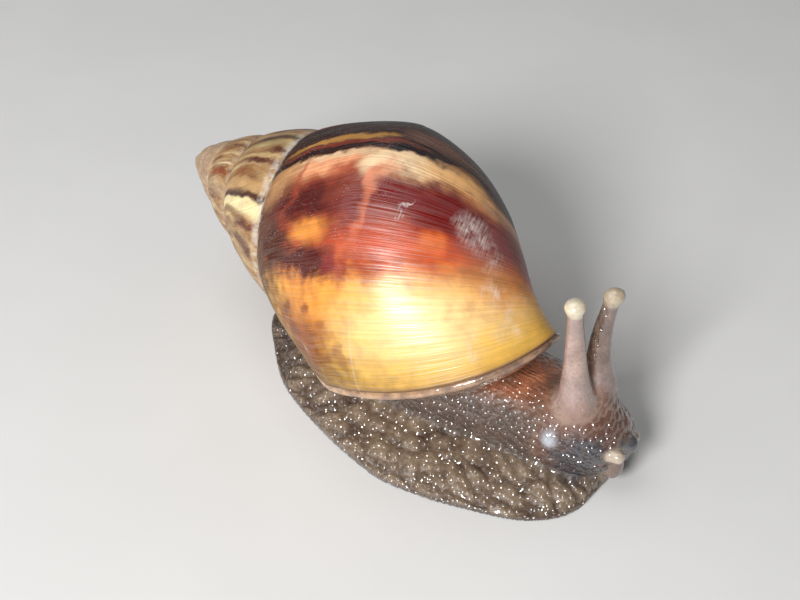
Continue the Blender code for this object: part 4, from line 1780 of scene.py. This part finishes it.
    def paint(self, ground: SkinGround) -> None:
        """Works out the masks that the finish reads, from the parts' own masks.

        Args:
            ground: where the skin's points are, and the masks, which are changed and added to.
        """
        near, body, masks = ground.near, ground.body, ground.masks
        foot, neck, head, feeler, _ = ground.parts()
        small = masks[Mask.LIP] + masks[Mask.FLAP] + masks[Mask.NUB]
        x, y, z = body.T
        tops = [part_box(name)[1].z / MM for name in self.regions[Mask.FEELER]]
        top = np.where(y > 1.0, tops[1], tops[0])
        far_stalk = smoothstep(0.5, 2.0, y)
        is_stalk = near.spread(feeler, 4)
        # Painted shade on the far feeler: its bulb is a little duller and its stalk less pale.
        masks[Mask.BULB] = is_stalk * smoothstep(top - 2.9, top - 2.1, z) * (1.0 - 0.3 * far_stalk)
        collar = np.minimum(*(distance(body, place, radii) for place, radii in self.collars))
        masks[Mask.PALE] = near.spread(0.75 * np.exp(-(collar**3)), 10)
        masks[Mask.PALE] += is_stalk * smoothstep(top - 9.0, top - 3.0, z) * (0.9 - 0.6 * far_stalk)
        # Painted shadow: the near feeler's shadow is painted as a dark streak down the side of the far
        # feeler that faces it.
        streak = smoothstep(-0.1, 0.7, ground.normals @ np.array(self.shadow_side)) * far_stalk
        masks[Mask.FEELER] = is_stalk * smoothstep(15.0, 20.0, z) * (1.0 - 0.70 * streak)
        band = smoothstep(13.5, 16.0, z) * smoothstep(20.5, 17.0, z) * smoothstep(33.0, 38.0, x)
        masks[Mask.SKIRT] = near.spread((is_stalk + head) * band * 0.4, 30)
        soft_head = near.spread(head, 90)
        warm = smoothstep(13.6, 16.6, z - 0.10 * (y + 4.0)) * smoothstep(6.0, 16.0, x)
        blush = np.array([noise.noise(place) for place in body / self.blush_size])
        warm *= 0.45 + 0.55 * smoothstep(-0.35, 0.25, blush)
        warm *= 0.35 + 0.65 * smoothstep(32.0, 27.0, x)
        masks[Mask.WARM] = near.spread((neck + head) * warm, 8) * smoothstep(40.0, 33.0, x)
        masks[Mask.HEAD] = np.maximum(head, near.spread(neck + head, 6) * soft_head)
        masks[Mask.NECK] = near.spread(neck, 14) * np.clip(1.3 - soft_head, 0.0, 1.0)
        masks[Mask.RIM] = near.spread(foot * (1.0 - smoothstep(0.5, 1.5, z)), 2)
        # A dark bluish patch lies under the near feeler, on the head's side.
        patch = (body - np.array(self.dark_patch_place)) / np.array(self.dark_patch_radii)
        edge = np.array([noise.noise(place) for place in body / self.dark_patch_grain])
        dark_patch = 1.35 * np.exp(-(np.clip((patch**2).sum(1) + 0.7 * edge, 0.0, 9.0) ** 1.5))
        # Painted shade, dark and bluish, spreads from the join of foot and neck; the dark patch is
        # added to it in the same tone.
        shade = near.spread(0.8 * ground.seam, 14) + dark_patch * (1.0 - near.spread(small, 2))
        masks[Mask.SHADE] = np.clip(shade, 0.0, 0.95)
        masks[Mask.PORE] = 0.95 * np.exp(-((ground.pore / 1.35) ** 3))

    def sculpt(self, skin: bpy.types.Object) -> None:
        """Fillets the roots, raises pads and grains, and keeps the masks that the finish reads.

        Args:
            skin: the draped skin.
        """
        near = Neighbours(skin)
        masks = {m: near.spread(v, 3) for m, v in self.find_regions(points_of(skin)).items()}
        points, seam = self.fillet(skin, near, masks)
        body = (points - np.array(self.shift)) / MM
        pore = distance(body, self.pore, (1.0, 1.0, 1.25))
        ground = SkinGround(near, masks, points, normals_of(skin), body, pore, seam)
        groove = self.emboss(skin, ground)
        self.paint(ground)
        x, y, z = body.T
        around = np.arctan2(y - 0.8, z - 8.0) * self.neck_radius
        kept = {mask.value: np.clip(values, 0.0, 1.0) for mask, values in masks.items()}
        kept[Mask.GROOVE.value] = np.clip(groove, 0.0, 1.0)
        kept[STRAND] = around / self.fold_gap + 0.05 * x
        for name, values in kept.items():
            attribute = skin.data.attributes.new(name, "FLOAT", "POINT")
            attribute.data.foreach_set("value", values.astype(np.float32))

    def make(self, lip: np.ndarray) -> bpy.types.Object:
        """Args:
            lip: the shell's lip, which the mantle follows.

        Returns:
            The skin.
        """
        skin = self.drape(lip)
        self.sculpt(skin)
        skin.data.materials.clear()
        skin.data.materials.append(SkinFinish().make())
        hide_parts(*[name for names in self.regions.values() for name in names])
        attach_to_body(skin, BODY)
        LOG.info("skin: %d faces", len(skin.data.polygons))
        return skin


# ---------------------------------------------------------------- eyes


@dataclass
class Eyes:
    """Two eyes, each a slightly flattened ball set in the tip of an upper feeler."""

    nodes: tuple[str, ...] = ("eye_right", "eye_left")
    flatness: float = 0.96

    def make(self) -> list[bpy.types.Object]:
        """Builds and dresses both eyes, and attaches them to the body.

        Returns:
            The two eyes.
        """
        finish = EyeFinish().make()
        made = []
        for node in self.nodes:
            low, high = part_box(node)
            radius = (high.x - low.x) / 2
            eye = ball(node + "_ball", (low + high) / 2, radius, (1.0, 1.0, self.flatness))
            finish_with(eye, "SUBSURF", levels=1, render_levels=1)
            bpy.ops.object.shade_smooth()
            eye.data.materials.append(finish)
            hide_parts(node)
            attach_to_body(eye, BODY)
            LOG.info("%s: %d faces", eye.name, len(eye.data.polygons))
            made.append(eye)
        return made


# ---------------------------------------------------------------- studio


@dataclass
class Studio:
    """A pale floor, soft light and the camera."""

    shift: Vector
    camera_place: Point = (114.97, -143.53, 171.9)
    camera_tilt: float = 50.0
    camera_turn: float = 39.0
    lens: float = 62.12
    key_place: Point = (112.5, -469.0, 339.0)
    key_aim: Point = (5.0, -6.5, 24.0)
    key_width: float = 0.19
    key_power: float = 3.4
    sky_place: Point = (-250.0, -150.0, 700.0)
    sky_width: float = 0.80
    sky_power: float = 2.0
    world_strength: float = 0.15
    world_colour: str = "#dfe3e8"
    floor_size: float = 3.0
    sensor: float = 36.0
    nearest: float = 0.01

    def light(self, name: str, place: Point, aim: Point, width: float, power: float) -> None:
        """Adds one round soft light at a place in mm, turned to its aim.

        Args:
            name: the light's name.
            place: where it hangs, in mm.
            aim: what it is turned to, in mm.
            width: its diameter, in metres.
            power: its power, in watts.
        """
        data = bpy.data.lights.new(name, "AREA")
        data.shape = "DISK"
        data.size = width
        data.energy = power
        obj = place_object(name, data)
        obj.location = Vector(place) * MM + self.shift
        obj.rotation_euler = (Vector(aim) - Vector(place)).to_track_quat("-Z", "Y").to_euler()

    def make(self) -> None:
        """Sets up the floor, lights, world and camera."""
        pick()
        bpy.ops.mesh.primitive_plane_add(size=self.floor_size, location=(0.0, 0.0, 0.0))
        floor = bpy.context.object
        floor.name = "floor"
        floor.data.materials.append(FloorFinish().make())
        self.light("key", self.key_place, self.key_aim, self.key_width, self.key_power)
        self.light("sky", self.sky_place, (0.0, 0.0, 0.0), self.sky_width, self.sky_power)
        world = bpy.data.worlds.new("studio")
        world.use_nodes = True
        background = world.node_tree.nodes["Background"]
        background.inputs[0].default_value = linear(self.world_colour)
        background.inputs[1].default_value = self.world_strength
        bpy.context.scene.world = world
        bpy.context.scene.view_settings.view_transform = "Standard"
        data = bpy.data.cameras.new("camera")
        data.lens = self.lens
        data.sensor_width = self.sensor
        data.clip_start = self.nearest
        camera = place_object("camera", data)
        camera.location = Vector(self.camera_place) * MM + self.shift
        camera.rotation_euler = (math.radians(self.camera_tilt), 0.0, math.radians(self.camera_turn))
        bpy.context.scene.camera = camera


def main() -> None:
    """Builds the studio, shell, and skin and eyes."""
    logging.basicConfig(level=logging.INFO, format="%(message)s")
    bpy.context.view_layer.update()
    shift = packed_shift()
    Studio(shift).make()
    shell = Shell(shift)
    shell.make()
    Skin(shift).make(shell.lip())
    Eyes().make()


if __name__ == "__main__":
    main()
